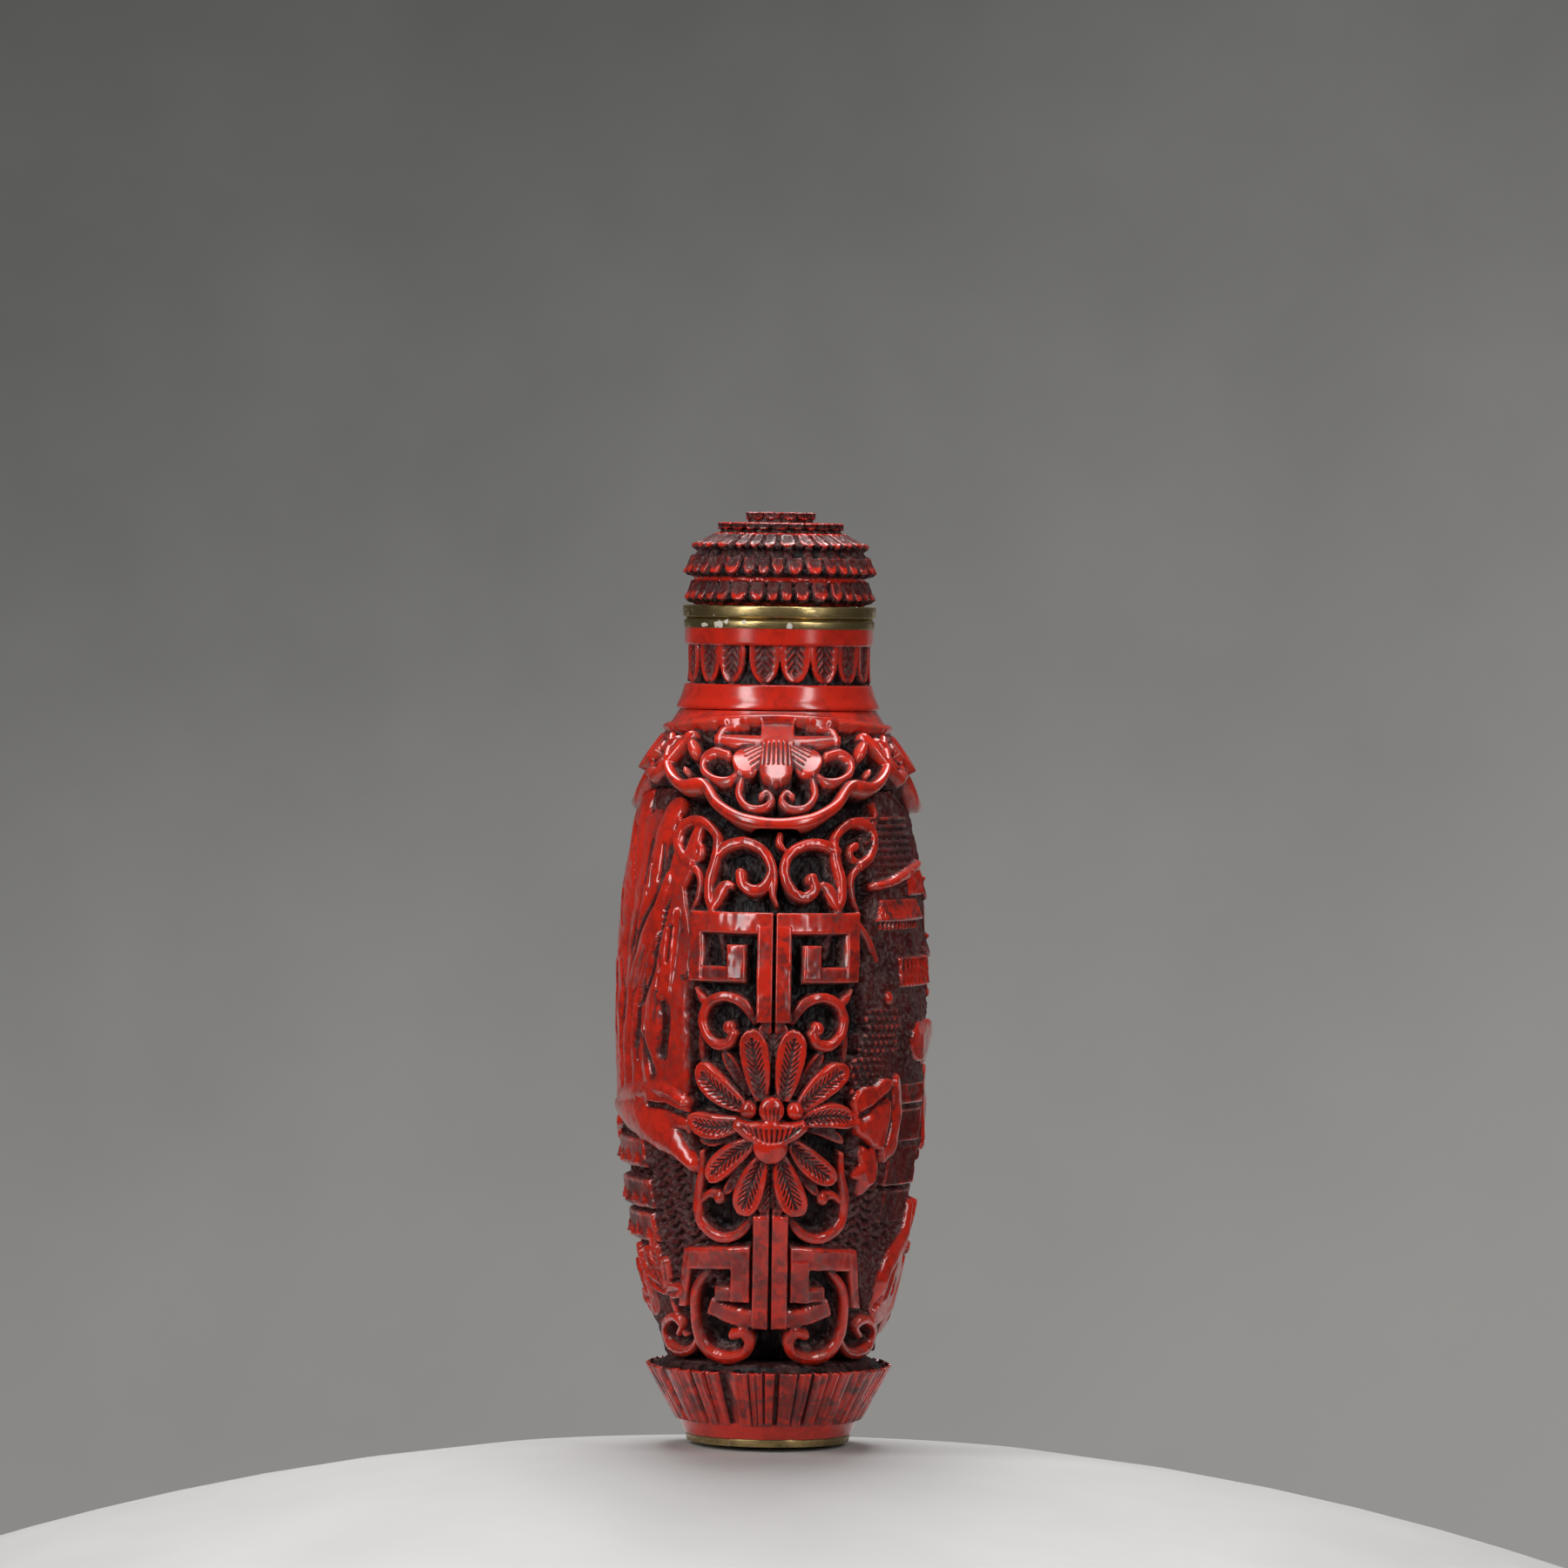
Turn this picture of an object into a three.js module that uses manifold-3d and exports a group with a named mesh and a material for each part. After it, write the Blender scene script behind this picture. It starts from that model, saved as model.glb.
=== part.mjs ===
// A carved red lacquer snuff bottle with its stopper, in millimetres, +Z up.
// The origin is the middle of the foot's underside. The thin way of the flattened body lies along X,
// so the two narrow sides look along -Y and +Y and the two wide faces along -X and +X.
import * as THREE from "three";
import { mergeVertices } from "three/addons/utils/BufferGeometryUtils.js";
import Module from "manifold-3d";

const wasm = await Module();
wasm.setup();

// Driving dimensions
const height = 80; // foot to crown
const plateTop = 0.65; // brass foot plate under the lacquer
const plateRecess = 0.3; // how far its middle stands clear of the table
const plateRim = 1.6; // width of the ring that it stands on
const fenceFoot = 1.9; // plain band up to here
const fenceTop = 6.7; // lip of the flared fence of flutes round the foot
const bodyFoot = 7.6; // where the carved body starts above the fence
const collarFoot = 54.2; // underside of the collar on the shoulder
const neckFoot = 62.9; // where the shoulder meets the neck
const neckTop = 69.95; // lacquer ends and the brass lip starts
const lipTop = 70.8; // brass lip ends and the stopper's collar starts
const capFoot = 71.9; // stopper's collar ends and its lacquer cap starts
const relief = 1.9; // depth of the carving from skin to ground
const root = 0.5; // how far each carved form runs on into the ground
const wall = 1.8; // lacquer behind the ground
const boreRadius = 4.0;
const plugRadius = 3.7;
const plugLength = 4.3;
const lipRadius = 8.2;
const footRadius = 7.1; // thin way
const footRatio = 1.33; // wide way over thin way at the foot
const bodySides = 24;
const roundSides = 24;

// Half-widths of the carved skin at a height: [z, thin way, wide way]
const skin = [
  [7.2, 9.2, 12.7],
  [12, 10.8, 15.9],
  [17, 11.9, 18.2],
  [24, 13.0, 20.6],
  [31, 13.4, 22.0],
  [37, 13.65, 22.3],
  [43, 13.4, 21.8],
  [48, 13.0, 20.7],
  [52, 12.4, 19.2],
  [55, 11.7, 17.4],
  [58, 10.8, 14.6],
  [61, 9.6, 11.0],
  [62.9, 8.7, 8.9],
];

const quarter = Math.PI / 2;
const lerp = (a, b, t) => a + (b - a) * t;
const pair = (r) => [r, r];

// A smooth curve through the skin's stations, as [thin, wide] less an allowance.
function halfWidths(z, less = 0) {
  const last = skin.length - 1;
  let i = skin.findIndex((s) => z < s[0]) - 1;
  if (i < 0) i = z < skin[0][0] ? 0 : last - 1;
  const [p, q] = [skin[i], skin[i + 1]];
  const [before, after] = [skin[Math.max(i - 1, 0)], skin[Math.min(i + 2, last)]];
  const span = q[0] - p[0];
  const t = THREE.MathUtils.clamp((z - p[0]) / span, 0, 1);
  return [1, 2].map((k) => {
    const m0 = ((q[k] - before[k]) / (q[0] - before[0])) * span;
    const m1 = ((after[k] - p[k]) / (after[0] - p[0])) * span;
    const [t2, t3] = [t * t, t * t * t];
    const width = (2 * t3 - 3 * t2 + 1) * p[k] + (t3 - 2 * t2 + t) * m0 + (3 * t2 - 2 * t3) * q[k];
    return width + (t3 - t2) * m1 - less;
  });
}

// Faces are counted in quarter turns from the front: 0 front, 1 right, 2 back, 3 left.
// u runs to the right as that face is seen, and rise is measured from the carving's ground.
function onBody(face, u, z, rise) {
  const [a, b] = halfWidths(z);
  const step = 0.2;
  const [a2, b2] = halfWidths(z + step);
  const reach = face % 2 ? b : a;
  const angle = face * quarter + Math.asin(THREE.MathUtils.clamp(u / reach, -0.999, 0.999));
  const [s, c] = [Math.sin(angle), Math.cos(angle)];
  const climb = -(a * (b2 - b) * c * c + b * (a2 - a) * s * s) / step;
  const normal = new THREE.Vector3(b * s, -a * c, climb).normalize();
  return new THREE.Vector3(a * s, -b * c, z).addScaledVector(normal, rise - relief);
}

// The collar's own skin stands proud of the shoulder.
const collarRise = 0.95;
const onCollar = (face, u, z, rise) => onBody(face, u, z, rise + collarRise);

// A closed solid from vertices and the faces' corner numbers.
function solid(vertices, faces) {
  const triVerts = [];
  for (const face of faces) {
    for (let i = 2; i < face.length; i++) triVerts.push(face[0], face[i - 1], face[i]);
  }
  return new wasm.Manifold(
    new wasm.Mesh({
      numProp: 3,
      vertProperties: new Float32Array(vertices.flatMap((v) => [v.x, v.y, v.z])),
      triVerts: new Uint32Array(triVerts),
    }),
  );
}

// Rings of equal count, each counted to the left as seen from the first, closed by a face at each end.
function stack(rings) {
  const n = rings[0].length;
  const faces = [rings[0].map((_, i) => n - 1 - i)];
  for (let k = 1; k < rings.length; k++) {
    for (let i = 0; i < n; i++) {
      const j = (i + 1) % n;
      faces.push([(k - 1) * n + i, (k - 1) * n + j, k * n + j, k * n + i]);
    }
  }
  faces.push(rings[0].map((_, i) => (rings.length - 1) * n + i));
  return solid(rings.flat(), faces);
}

const onOval = (angle, a, b, z) => new THREE.Vector3(a * Math.sin(angle), -b * Math.cos(angle), z);

// One oval ring, counted from the front towards +X.
function oval(z, [a, b], sides) {
  return Array.from({ length: sides }, (_, i) => onOval((i / sides) * 4 * quarter, a, b, z));
}

// An oval ring whose edge dips between petals or flutes.
function scalloped(z, [a, b], dip, petals) {
  return Array.from({ length: petals * 2 }, (_, i) => {
    const less = i % 2 ? dip : 0;
    return onOval((i / petals) * 2 * quarter, a - less, b - less, z);
  });
}

// The stations of a strip: a smooth curve through its points, or straight runs between its corners.
function smooth(line, steps) {
  const curve = new THREE.CatmullRomCurve3(line.map((p) => new THREE.Vector3(...p)));
  return curve.getPoints(steps);
}

function straight(line) {
  const [longestAcross, longestUp] = [3.8, 13];
  const stations = [new THREE.Vector3(...line[0])];
  for (let i = 1; i < line.length; i++) {
    const [from, to] = [line[i - 1], line[i]].map((p) => new THREE.Vector3(...p));
    const across = Math.abs(to.x - from.x) / longestAcross;
    const up = Math.abs(to.y - from.y) / longestUp;
    const runs = Math.max(1, Math.ceil(Math.max(across, up)));
    for (let k = 1; k <= runs; k++) stations.push(from.clone().lerp(to, k / runs));
  }
  return stations;
}

// A carved strip: its stations carry a half-width, and its flat top lies at a rise over the ground.
function strip(place, face, stations, top) {
  const last = stations.length - 1;
  const flat = stations.map((p) => new THREE.Vector2(p.x, p.y));
  const rings = stations.map((p, i) => {
    const ahead = flat[Math.min(i + 1, last)].clone().sub(flat[Math.min(i, last - 1)]).normalize();
    const behind = flat[Math.max(i, 1)].clone().sub(flat[Math.max(i - 1, 0)]).normalize();
    const along = ahead.clone().add(behind).normalize();
    const half = Math.max(p.z, 0.12) / Math.max(along.dot(ahead), 0.6);
    const [du, dz] = [-along.y * half, along.x * half];
    return [
      place(face, p.x + du, p.y + dz, -root),
      place(face, p.x - du, p.y - dz, -root),
      place(face, p.x - du, p.y - dz, top),
      place(face, p.x + du, p.y + dz, top),
    ];
  });
  return stack(rings.reverse());
}

// Both twins of a strip, left and right of its face's middle.
function twins(place, face, stations, top) {
  const mirrored = stations.map((p) => new THREE.Vector3(-p.x, p.y, p.z));
  return [strip(place, face, stations, top), strip(place, face, mirrored, top)];
}

// Points along a volute: it turns from one angle to another while its radius closes in.
function volute([u, z], [r0, r1], [from, to], halfWidth, count = 7) {
  return Array.from({ length: count }, (_, i) => {
    const t = i / (count - 1);
    const angle = THREE.MathUtils.degToRad(lerp(from, to, t));
    const r = lerp(r0, r1, t * t);
    return [u + r * Math.cos(angle), z + r * Math.sin(angle), halfWidth];
  });
}

// A leaf or petal from its base to its tip, widest at the given share of its length.
function petal([u0, z0], [u1, z1], halfWidth, widest = 0.62) {
  const at = (t, w) => [lerp(u0, u1, t), lerp(z0, z1, t), w];
  return straight([at(0, halfWidth * 0.4), at(widest, halfWidth), at(1, 0.12)]);
}

// A key fret: one bar that turns square corners, with a half-width for each corner.
const key = (corners, halfWidths_) => straight(corners.map((p, i) => [...p, halfWidths_[i]]));

// A rock or cliff: a strip that widens from its peak down to its foot.
function crag(u, foot, peak, halfWidth, lean = 0) {
  return straight([
    [u, foot, halfWidth * 0.9],
    [u + lean * 0.4, lerp(foot, peak, 0.45), halfWidth],
    [u + lean, peak, halfWidth * 0.3],
  ]);
}

const bar = ([u0, z0], [u1, z1], halfWidth) => straight([[u0, z0, halfWidth], [u1, z1, halfWidth]]);

// The tracery of both narrow sides, from the collar down to the fence: [stations, rise of the top]
const line = 0.55; // half-width of a scroll
const sideTwins = [
  [smooth([[5.2, 45.9, line], ...volute([6.9, 51.8], [1.8, 0.9], [190, -100], line, 5)], 6), 1.9],
  [key([[0, 45.3], [6.9, 45.3], [6.9, 40.9], [3.1, 40.9], [3.1, 43.5]], [0.85, 0.6, 0.6, 0.7, 0.8]), 1.6],
  [petal([0.8, 30.2], [1.9, 36.2], 1.15, 0.7), 1.85],
  [petal([2.2, 29.6], [6.4, 33.1], 1.0), 1.8],
  [petal([2.4, 28.2], [7.1, 28.6], 0.95), 1.9],
  [petal([1.6, 26.8], [5.4, 23.3], 1.05), 1.8],
  [petal([0.8, 25.6], [2.5, 20.4], 1.1, 0.66), 1.85],
  [key([[4.9, 13.5], [2.6, 13.4], [2.6, 16.3], [7.2, 16.5], [7.5, 12.2]], [0.7, 0.75, 0.85, 0.6, 0.5]), 1.6],
  [bar([0, 11.1], [5.2, 12.0], 0.7), 1.5],
];
// The front has four more pairs of scrolls; the back is plainer.
const frontTwins = [
  [smooth(volute([2.9, 49.8], [2.3, 1.1], [20, 290], line, 5), 5), 1.7],
  [smooth(volute([4.9, 37.1], [2.4, 1.1], [165, -140], line, 5), 5), 1.5],
  [smooth([[6.3, 25.4, 0.3], ...volute([4.1, 20.7], [2.3, 2.3], [0, -165], line, 4)], 4), 1.6],
  [smooth([[5.9, 14.6, 0.4], ...volute([4.0, 10.1], [2.5, 1.2], [10, -180], line, 5)], 5), 1.8],
];
const sideMiddle = [
  [bar([0, 36.2], [0, 45], 1.5), 1.7],
  [petal([0, 30], [0, 37.4], 1.2, 0.85), 1.6],
  [petal([0, 25.4], [0, 20], 0.9), 1.65],
  [bar([-2.9, 27.6], [2.9, 27.6], 0.85), 2.15],
  [petal([0, 27.4], [0, 31], 1.1, 0.5), 2.1],
  [bar([0, 10.4], [0, 20.6], 1.55), 1.7],
];

// A lobe of the collar: its rim, the key fret under the neck, and the palmette between two scrolls.
const rim = 0.55;
const lobeTwins = [
  [straight([[0, 54.1, rim], [3.2, 54.6, rim], [6.3, 57.2, rim], [8.2, 56.8, rim], [9.8, 58.6, 0.4]]), 1.5],
  [bar([0, 61], [5.6, 61], 0.7), 1.2],
];
const lobeMiddle = [[straight([[0, 56.2, 0.2], [0, 59.4, 1.6], [0, 62.7, 1.3]]), 1.4]];

// The wide faces, from the shore up: cliffs over the sea on the left, pavilions among rocks on the right.
const cliffs = [
  [crag(14.4, 25, 46.5, 2.6, 1), 1.75],
  [crag(8.8, 26, 52.8, 3.6, 1.2), 1.5],
  [crag(1.8, 25, 44, 3.7, -0.6), 1.85],
  [crag(-4.8, 27, 51, 3.4, 1), 1.5],
  [crag(-11.4, 25, 49.5, 3.6, -1), 1.75],
  [bar([16.4, 25], [7.4, 25], 1.9), 1.85],
  [crag(9.6, 9.4, 20.4, 2.2, 1), 1.6],
  [crag(-8.4, 9.4, 18.6, 3.2, 0.5), 1.7],
];
const pavilions = [
  [bar([-15.2, 50], [-4.6, 50], 1.6), 1.3],
  [bar([-16.4, 46.6], [-8, 46.6], 1.0), 1.8],
  [bar([-12.2, 45.9], [-12.2, 39.6], 3.0), 1.1],
  [bar([-2.2, 40.8], [12.6, 40.8], 1.1), 1.8],
  [bar([5.4, 40], [5.4, 31], 5.0), 1.2],
  [bar([-1.4, 30.6], [12.6, 30.6], 0.9), 1.7],
  [crag(-4.8, 30, 39, 2.3), 1.9],
  [crag(-13.4, 23, 37, 2.6, 1.2), 1.85],
  [crag(10.4, 14, 28.4, 3.2, 0.6), 1.8],
  [crag(-9.4, 9.6, 20.6, 3.2, 1), 1.75],
];

// Pointed leaves hang round the neck under a plain band.
function neckLeaves() {
  const leaves = 16;
  const [top, notch, tip] = [68.7, 66.6, 65.2];
  const hem = Array.from({ length: leaves * 2 }, (_, i) =>
    onOval((i / leaves) * 2 * quarter, 7.95, 7.95, i % 2 ? tip : notch),
  );
  const [inner, outer] = [pair(6.6), pair(7.95)];
  const sides = leaves * 2;
  return stack([oval(notch, inner, sides), hem, oval(top, outer, sides), oval(top + 0.3, inner, sides)]);
}

// The vessel without its carving: fluted foot, ground of the body, shoulder and neck.
function vessel() {
  const body = stack([
    oval(fenceTop - 1, [7, 10.4], bodySides),
    ...[bodyFoot, 17, 30, 44, collarFoot - 0.1].map((z) => oval(z, halfWidths(z, relief), bodySides)),
    oval(collarFoot, halfWidths(collarFoot, 0.5), bodySides),
    oval(58.5, halfWidths(58.5, 0.35), bodySides),
    oval(neckFoot - 0.5, pair(8.6), bodySides),
  ]);
  const flutes = 32;
  const fenceIn = [7.8, 7.8 * footRatio];
  const fence = stack([
    scalloped(fenceFoot, fenceIn, 0.35, flutes),
    scalloped(fenceTop, [10.4, 14.2], 0.35, flutes),
  ]);
  const band = stack([
    oval(plateTop, [footRadius, footRadius * footRatio], bodySides),
    oval(fenceFoot + 0.3, [7.5, 7.5 * footRatio], bodySides),
  ]);
  const profile = [
    [neckFoot - 0.6, 8.9],
    [neckFoot + 0.9, 8.35],
    [65.1, 8.05],
    [65.2, 7.3],
    [68.6, 7.3],
    [68.7, 8.15],
    [neckTop, 8.15],
  ];
  const neck = stack(profile.map(([z, r]) => oval(z, pair(r), roundSides)));
  return [body, fence, band, neck, neckLeaves()];
}

// The hollow: an oval chamber with the wall's thickness round it, and a round bore up the neck.
function hollow() {
  const sides = 18;
  const chamber = (z) => oval(z, halfWidths(z, relief + wall), sides);
  return stack([
    oval(3.4, [4.4, 6.4], sides),
    ...[9, 17, 30, 46].map(chamber),
    oval(54, [7.2, 11.6], sides),
    oval(58.6, pair(boreRadius), sides),
    oval(neckTop + 1, pair(boreRadius), sides),
  ]);
}

function bottle() {
  const carve = (place, faces, rows, cut) =>
    faces.flatMap((face) => rows.flatMap(([path, top]) => cut(place, face, path, top)));
  const carving = [
    ...carve(onBody, [0, 2], sideTwins, twins),
    ...carve(onBody, [0], frontTwins, twins),
    ...carve(onBody, [0, 2], sideMiddle, strip),
    ...carve(onBody, [1], pavilions, strip),
    ...carve(onBody, [3], cliffs, strip),
    ...carve(onCollar, [0, 1, 2, 3], lobeTwins, twins),
    ...carve(onCollar, [0, 1, 2, 3], lobeMiddle, strip),
  ].flat();
  return [...vessel(), ...carving].reduce((all, form) => all.add(form)).subtract(hollow());
}

// The stopper's cap: tiers of small petals that overlap like thatch under a flat crown.
function cap() {
  const petals = 18;
  const dip = 0.4;
  // From the foot up: [height, radius, how far the edge dips between petals]
  const profile = [
    [capFoot, 7.7, 0],
    [72.5, 8.3, dip],
    [74.1, 7.6, 0.1],
    [74.8, 8.35, dip],
    [76.8, 7.3, 0.1],
    [77.1, 7.6, dip],
    [78.2, 5.5, 0.2],
    [78.95, 5.5, 0.3],
    [79.05, 3.0, 0.2],
    [height, 3.0, 0.2],
  ];
  return stack(profile.map(([z, r, less]) => scalloped(z, pair(r), less, petals)));
}

function brassLip() {
  const outer = stack([
    oval(neckTop, pair(lipRadius), roundSides),
    oval(lipTop - 0.12, pair(lipRadius), roundSides),
    oval(lipTop, pair(lipRadius - 0.12), roundSides),
  ]);
  const bore = stack([neckTop - 1, lipTop + 1].map((z) => oval(z, pair(boreRadius), roundSides)));
  return outer.subtract(bore);
}

// The stopper's brass collar rests on the lip, and its plug reaches down the bore.
function brassCollar() {
  const profile = [
    [lipTop - plugLength, plugRadius - 0.2],
    [lipTop, plugRadius],
    [lipTop, lipRadius],
    [lipTop + 0.12, lipRadius + 0.12],
    [capFoot - 0.1, lipRadius + 0.12],
    [capFoot, lipRadius],
  ];
  return stack(profile.map(([z, r]) => oval(z, pair(r), roundSides)));
}

// The brass plate under the foot stands on its rim.
function footPlate() {
  const edge = [footRadius - 0.15, (footRadius - 0.15) * footRatio];
  const inner = edge.map((r) => r - plateRim);
  const plate = stack([
    oval(0, edge, bodySides),
    oval(plateTop, [footRadius, footRadius * footRatio], bodySides),
  ]);
  return plate.subtract(stack([oval(-1, inner, bodySides), oval(plateRecess, inner, bodySides)]));
}

// A named mesh from a finished solid.
function piece(name, made, material) {
  const { vertProperties, triVerts } = made.getMesh();
  const geometry = new THREE.BufferGeometry();
  geometry.setAttribute("position", new THREE.BufferAttribute(vertProperties, 3));
  geometry.setIndex(new THREE.BufferAttribute(triVerts, 1));
  const mesh = new THREE.Mesh(mergeVertices(geometry), material);
  mesh.name = name;
  return mesh;
}

const lacquer = new THREE.MeshStandardMaterial({ color: "#b02a18", roughness: 0.35, metalness: 0 });
const brass = new THREE.MeshStandardMaterial({ color: "#9c8550", roughness: 0.4, metalness: 1 });

const snuffBottle = new THREE.Group();
snuffBottle.add(
  piece("foot_plate", footPlate(), brass),
  piece("bottle_body", bottle(), lacquer),
  piece("neck_lip", brassLip(), brass),
  piece("stopper_collar", brassCollar(), brass),
  piece("stopper_cap", cap(), lacquer),
);

export default snuffBottle;
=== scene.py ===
import math

import bmesh
import bpy
import numpy as np
from mathutils import Matrix, Vector


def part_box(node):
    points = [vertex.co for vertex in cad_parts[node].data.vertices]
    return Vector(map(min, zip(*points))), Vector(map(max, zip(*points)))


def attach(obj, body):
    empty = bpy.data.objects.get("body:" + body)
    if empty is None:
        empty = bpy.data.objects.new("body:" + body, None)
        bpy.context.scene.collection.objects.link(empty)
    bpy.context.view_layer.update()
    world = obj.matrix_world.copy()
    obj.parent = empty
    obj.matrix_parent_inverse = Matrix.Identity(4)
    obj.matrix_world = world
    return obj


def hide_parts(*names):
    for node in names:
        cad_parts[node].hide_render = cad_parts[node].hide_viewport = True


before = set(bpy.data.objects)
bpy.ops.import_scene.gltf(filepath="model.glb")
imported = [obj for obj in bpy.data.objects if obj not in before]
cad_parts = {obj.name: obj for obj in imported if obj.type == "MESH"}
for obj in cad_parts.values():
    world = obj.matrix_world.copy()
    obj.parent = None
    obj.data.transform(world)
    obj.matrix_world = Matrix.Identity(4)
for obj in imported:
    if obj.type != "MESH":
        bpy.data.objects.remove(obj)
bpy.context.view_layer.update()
mm = 0.001  # the tables below are in millimetres, Blender works in metres


def nodeTop(name):
    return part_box(name)[1].z / mm


def nodeFoot(name):
    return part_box(name)[0].z / mm


# Half-widths of the carved skin: thin way along X, wide way along Y
bodyShape = {
    "heights": [7.2, 12, 17, 24, 31, 37, 43, 48, 52, 55, 58, 61, 62.9],
    "thin": [9.2, 10.8, 11.9, 13.0, 13.4, 13.65, 13.4, 13.0, 12.4, 11.7, 10.8, 9.6, 8.7],
    "wide": [12.7, 15.9, 18.2, 20.6, 22.0, 22.3, 21.8, 20.7, 19.2, 17.4, 14.6, 11.0, 8.9],
    "relief": 2.0,  # skin to ground
    "wall": 1.7,  # lacquer behind the ground
    "foot": 7.2,
    "top": 56.4,
    "corner": math.radians(44.5),  # where a narrow side ends and a wide face starts
}


def hermite(x, stations, values):
    xs, ys = np.array(stations, float), np.array(values, float)
    before, after = np.maximum(np.arange(len(xs)) - 1, 0), np.minimum(np.arange(len(xs)) + 1, len(xs) - 1)
    slopes = (ys[after] - ys[before]) / (xs[after] - xs[before])
    i = np.clip(np.searchsorted(xs, x) - 1, 0, len(xs) - 2)
    span = xs[i + 1] - xs[i]
    t = np.clip((x - xs[i]) / span, 0, 1)
    t2, t3 = t * t, t * t * t
    start = (2 * t3 - 3 * t2 + 1) * ys[i] + (t3 - 2 * t2 + t) * slopes[i] * span
    return start + (3 * t2 - 2 * t3) * ys[i + 1] + (t3 - t2) * slopes[i + 1] * span


def bodySkin(z):
    thin = hermite(z, bodyShape["heights"], bodyShape["thin"])
    return thin, hermite(z, bodyShape["heights"], bodyShape["wide"]), z


def arcLength(turn, a, b, start=0.0):  # length along an oval from a starting turn
    nodes, weights = np.polynomial.legendre.leggauss(10)
    reach = (turn - start) / 2
    total = 0
    for node, weight in zip(nodes, weights):
        at = start + reach * (node + 1)
        total = total + weight * np.hypot(a * np.cos(at), b * np.sin(at))
    return total * reach


def softNoise(x, y, cell, seed, wrap=64):
    lattice = np.random.default_rng(seed).random((wrap, 64))
    u, v = x / cell + 10 * wrap, y / cell + 640
    i, j = np.floor(u).astype(int), np.floor(v).astype(int)
    fu, fv = u - i, v - j
    fu, fv = fu * fu * (3 - 2 * fu), fv * fv * (3 - 2 * fv)

    def corner(di, dj):
        return lattice[(i + di) % wrap, (j + dj) % 64]

    low = corner(0, 0) * (1 - fu) + corner(1, 0) * fu
    return low * (1 - fv) + (corner(0, 1) * (1 - fu) + corner(1, 1) * fu) * fv


def ringNoise(turn, s, girth, cell, seed):  # noise that meets itself after a full turn
    cells = max(3, round(girth / cell))
    return softNoise(turn / math.tau * cells, s / cell, 1, seed, cells)


def smoothStep(low, high, x):
    t = np.clip((x - low) / (high - low), 0, 1)
    return t * t * (3 - 2 * t)


def softCurve(points, step=0.12):  # a smooth line through the points, also through any width they carry
    p = np.array(points, float)
    padded = np.vstack([2 * p[0] - p[1], p, 2 * p[-1] - p[-2]])
    made = []
    for p0, p1, p2, p3 in zip(padded, padded[1:], padded[2:], padded[3:]):
        t = np.linspace(0, 1, max(3, int(np.hypot(*(p2 - p1)[:2]) / step)), endpoint=False)[:, None]
        half = 0.5 * (p2 - p0) * t + (p0 - 2.5 * p1 + 2 * p2 - 0.5 * p3) * t**2
        made.append(p1 + half + 0.5 * (3 * p1 - p0 - 3 * p2 + p3) * t**3)
    return np.vstack([*made, p[-1:]])


cutting = {"steep": 11.0, "edge": 0.18}  # how sheer the cuts fall and how far an edge is worn round
farAway = 999.0  # past the end of any face


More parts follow.
